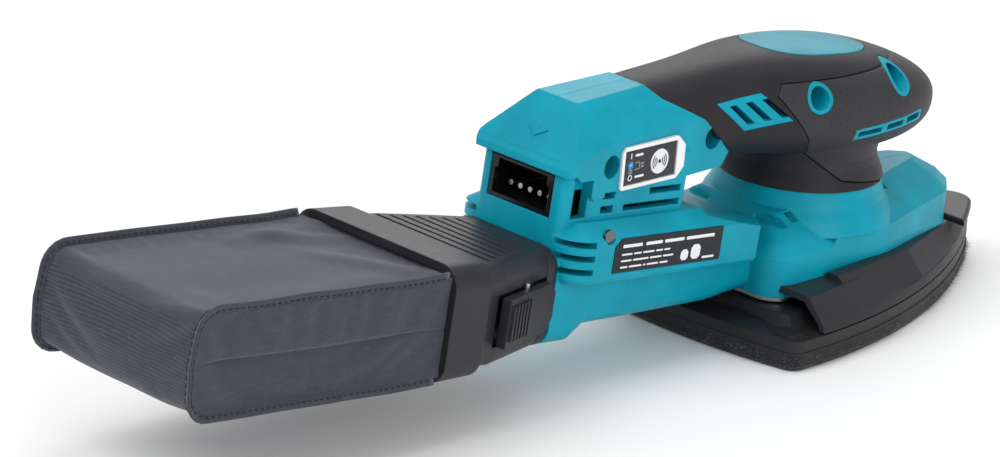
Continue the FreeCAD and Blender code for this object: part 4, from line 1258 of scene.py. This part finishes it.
    def simulate(self, shell: bpy.types.Object, pinned: list[int]) -> None:
        """Let the panels relax as slightly slack cloth held at the frame and along the hems.

        Args:
            shell: The sewn shell.
            pinned: Points that stay.
        """
        group = shell.vertex_groups.new(name="held")
        group.add(pinned, 1.0, "REPLACE")
        before = np.zeros(len(shell.data.vertices) * 3)
        shell.data.vertices.foreach_get("co", before)
        cloth = shell.modifiers.new("cloth", "CLOTH")
        settings = cloth.settings
        settings.quality = 6
        settings.mass = 0.2
        settings.tension_stiffness = settings.compression_stiffness = 14.0
        settings.shear_stiffness = 6.0
        settings.bending_stiffness = 2.0
        settings.vertex_group_mass = "held"
        settings.shrink_min = -0.007
        settings.use_pressure = True
        settings.uniform_pressure_force = 0.6
        settings.effector_weights.gravity = 0.35
        cloth.point_cache.frame_start = 1
        cloth.point_cache.frame_end = self.frames
        for number in range(1, self.frames + 1):
            bpy.context.scene.frame_set(number)
        moved = shell.evaluated_get(bpy.context.evaluated_depsgraph_get())
        after = np.zeros_like(before)
        moved.data.vertices.foreach_get("co", after)
        shell.modifiers.remove(cloth)
        step = (after - before).reshape(-1, 3)
        length = np.linalg.norm(step, axis=1)
        step *= np.minimum(1.0, self.cap / np.maximum(length, 1e-9))[:, None]
        shell.data.vertices.foreach_set("co", (before.reshape(-1, 3) + step).ravel())
        bpy.context.scene.frame_set(1)
        LOG.info("bag cloth moved %.1f mm at most", 1000 * float(np.minimum(length, self.cap).max()))

    def folds(self, spot: Vector) -> float:
        """Height of the soft folds in the top panel near the frame.

        Args:
            spot: A level-frame point of the top.

        Returns:
            How far it rises.
        """
        rise = 0.0
        for x0, y0, x1, y1, high, wide in ((-191, 24, -232, 21, 1.9, 4.2), (-193, 12, -222, 23, 1.3, 3.4),
                                           (-191, -28, -216, 9, 1.5, 4.6), (-230, -8, -272, -16, -0.9, 9.0),
                                           (-205, -20, -252, -27, 0.8, 5.0)):
            a, b = Vector((x0, y0)) * MM, Vector((x1, y1)) * MM
            run = b - a
            t = max(0.0, min(1.0, (spot.xy - a).dot(run) / run.length_squared))
            gap = (spot.xy - (a + run * t)).length / (wide * MM)
            rise += high * MM * math.exp(-gap * gap) * math.sin(math.pi * min(1.0, t * 0.9 + 0.1)) ** 0.7
        return rise

    def build(self) -> None:
        """Build the shell, relax it, split it into its panels and sew on the hems."""
        points, faces, parts = self.shell()
        mesh = bpy.data.meshes.new("bag_shell")
        mesh.from_pydata([tuple(p) for p in points], [], faces)
        shell = bpy.data.objects.new("bag_shell", mesh)
        bpy.context.scene.collection.objects.link(shell)
        seams = parts["seams"]
        creases = {i for grid in parts["grids"].values() for i in grid[self.upright // 2]}
        self.simulate(shell, sorted(creases.union(parts["fronts"], seams[Side.RIGHT], seams[Side.LEFT])))
        spots = [v.co.copy() for v in mesh.vertices]
        bpy.data.objects.remove(shell)
        edge = 4 * MM
        for index, spot in enumerate(spots):
            if index < (self.along + 1) * (self.across + 1):
                soft = min(1.0, (self.half - abs(spot.y)) / edge) * min(1.0, max(0.0, (self.mouth - spot.x) / (6 * MM)))
                spot.z += self.folds(spot) * max(0.0, soft)
            spot += noise.noise_vector(spot * 55.0) * 0.25 * MM * (0 if index in parts["fronts"] else 1)
        self.panels(spots, faces, parts)
        hems = []
        stitches = []
        for side in Side:
            hem, run = self.hem([spots[i] for i in seams[side]], side)
            hems.append(hem)
            stitches += run
        points, faces = merge(hems)
        piece("bag_hems", points, faces, Finish.BINDING, "bag")
        points, faces = merge(stitches)
        piece("bag_stitches", points, faces, Finish.THREAD, "bag")

    def panels(self, spots: list[Vector], faces: list, parts: dict) -> None:
        """Make the wrap and both gussets as sheets of cloth.

        Args:
            spots: The level-frame points.
            faces: All faces, the wrap's first.
            parts: The named lists from the shell.
        """
        gusset_faces = self.along * self.upright
        limits = {"bag_wrap": (0, parts["wrap_faces"]),
                  "bag_gusset_right": (parts["wrap_faces"], parts["wrap_faces"] + gusset_faces),
                  "bag_gusset_left": (parts["wrap_faces"] + gusset_faces, len(faces))}
        for name, (start, stop) in limits.items():
            chosen = faces[start:stop]
            used = sorted({i for face in chosen for i in face})
            places = {old: new for new, old in enumerate(used)}
            made = piece(name, [REAR.out(*spots[i]) for i in used], [tuple(places[i] for i in f) for f in chosen],
                         Finish.BAG, "bag")
            solid = made.modifiers.new("cloth_thickness", "SOLIDIFY")
            solid.thickness = 0.7 * MM
            solid.offset = -1.0
            smooth = made.modifiers.new("soften", "SUBSURF")
            smooth.levels = smooth.render_levels = 1
            if name == "bag_wrap":
                # the end panel takes the darker ribbed cloth, which carries painted shade for that face
                made.data.materials.append(SHELF.take(Finish.BAG_END))
                for face in made.data.polygons:
                    if face.center.x < REAR.out(self.rear + 4.5 * MM, 0, 0).x:
                        face.material_index = 1
                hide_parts("bag_cloth")

    def hem(self, seam: list[Vector], side: Side) -> tuple[tuple[list, list], list]:
        """One hem: a doubled strip standing off the seam, with its row of stitches.

        Args:
            seam: The seam's level-frame points.
            side: Which flank.

        Returns:
            The hem's points and faces, and those of each stitch.
        """
        centre = Vector((self.mouth + 30 * MM, 0, (self.top + self.bottom) / 2))
        seam = [spot for spot in seam if spot.x < self.hem_start]
        path, across, up = [], [], []
        count = len(seam)
        for i, spot in enumerate(seam):
            before, after = seam[max(0, i - 1)], seam[min(count - 1, i + 1)]
            run = (after - before).normalized()
            outward = Vector((-run.z, 0.0, run.x))
            if outward.dot(Vector((spot.x - centre.x, 0, spot.z - centre.z))) < 0 and abs(outward.x) < 0.9:
                outward = -outward
            if outward.x > 0.3:
                outward = -outward
            back = max(0.0, -outward.x)
            rise = (outward * (0.90 - 0.35 * back) + Vector((0, side.value, 0)) * (0.42 + 0.42 * back)).normalized()
            flat = run.cross(rise).normalized()
            path.append(spot - rise * 0.7 * MM)
            across.append(flat)
            up.append(rise)
        section = soft_section(1.15 * MM, self.hem_height)
        level = sweep(path, across, up, section)
        hem = ([REAR.out(*p) for p in level[0]], level[1])
        stitches = []
        steps = [0.0]
        for a, b in zip(path, path[1:]):
            steps.append(steps[-1] + (b - a).length)
        total, pitch, long = steps[-1], 2.3 * MM, 1.5 * MM
        for k in range(int(total / pitch) - 1):
            for face in (-1, 1):
                ends = []
                for s in (k * pitch + 1 * MM, k * pitch + 1 * MM + long):
                    i = max(0, min(count - 2, int(np.searchsorted(steps, s)) - 1))
                    t = (s - steps[i]) / max(steps[i + 1] - steps[i], 1e-9)
                    base = path[i].lerp(path[i + 1], t)
                    ends.append((base + up[i] * 1.35 * MM + across[i] * face * 0.78 * MM, up[i], across[i]))
                (a, rise, flat), (b, _, _) = ends
                ring = [(0.17 * MM * math.cos(q), 0.17 * MM * math.sin(q)) for q in
                        [2 * math.pi * n / 6 for n in range(6)]]
                middle = (a + b) / 2 + flat * face * 0.08 * MM
                made = sweep([a, middle, b], [flat] * 3, [rise] * 3, ring)
                stitches.append(([REAR.out(*p) for p in made[0]], made[1]))
        return hem, stitches


def main() -> None:
    """Build every sub-assembly in order."""
    logging.basicConfig(level=logging.INFO, format="%(name)s: %(message)s")
    Studio().build()
    for assembly in (Housing(), GripCover(), SwitchPanel(), SandingPad(), MotorDrive(), DustNozzle()):
        assembly.dress()
        build = getattr(assembly, "build", None)
        if build is not None:
            build()
        LOG.info("finished %s", type(assembly).__name__)
    DustBag().build()
    LOG.info("finished DustBag")


if __name__ == "__main__":
    main()
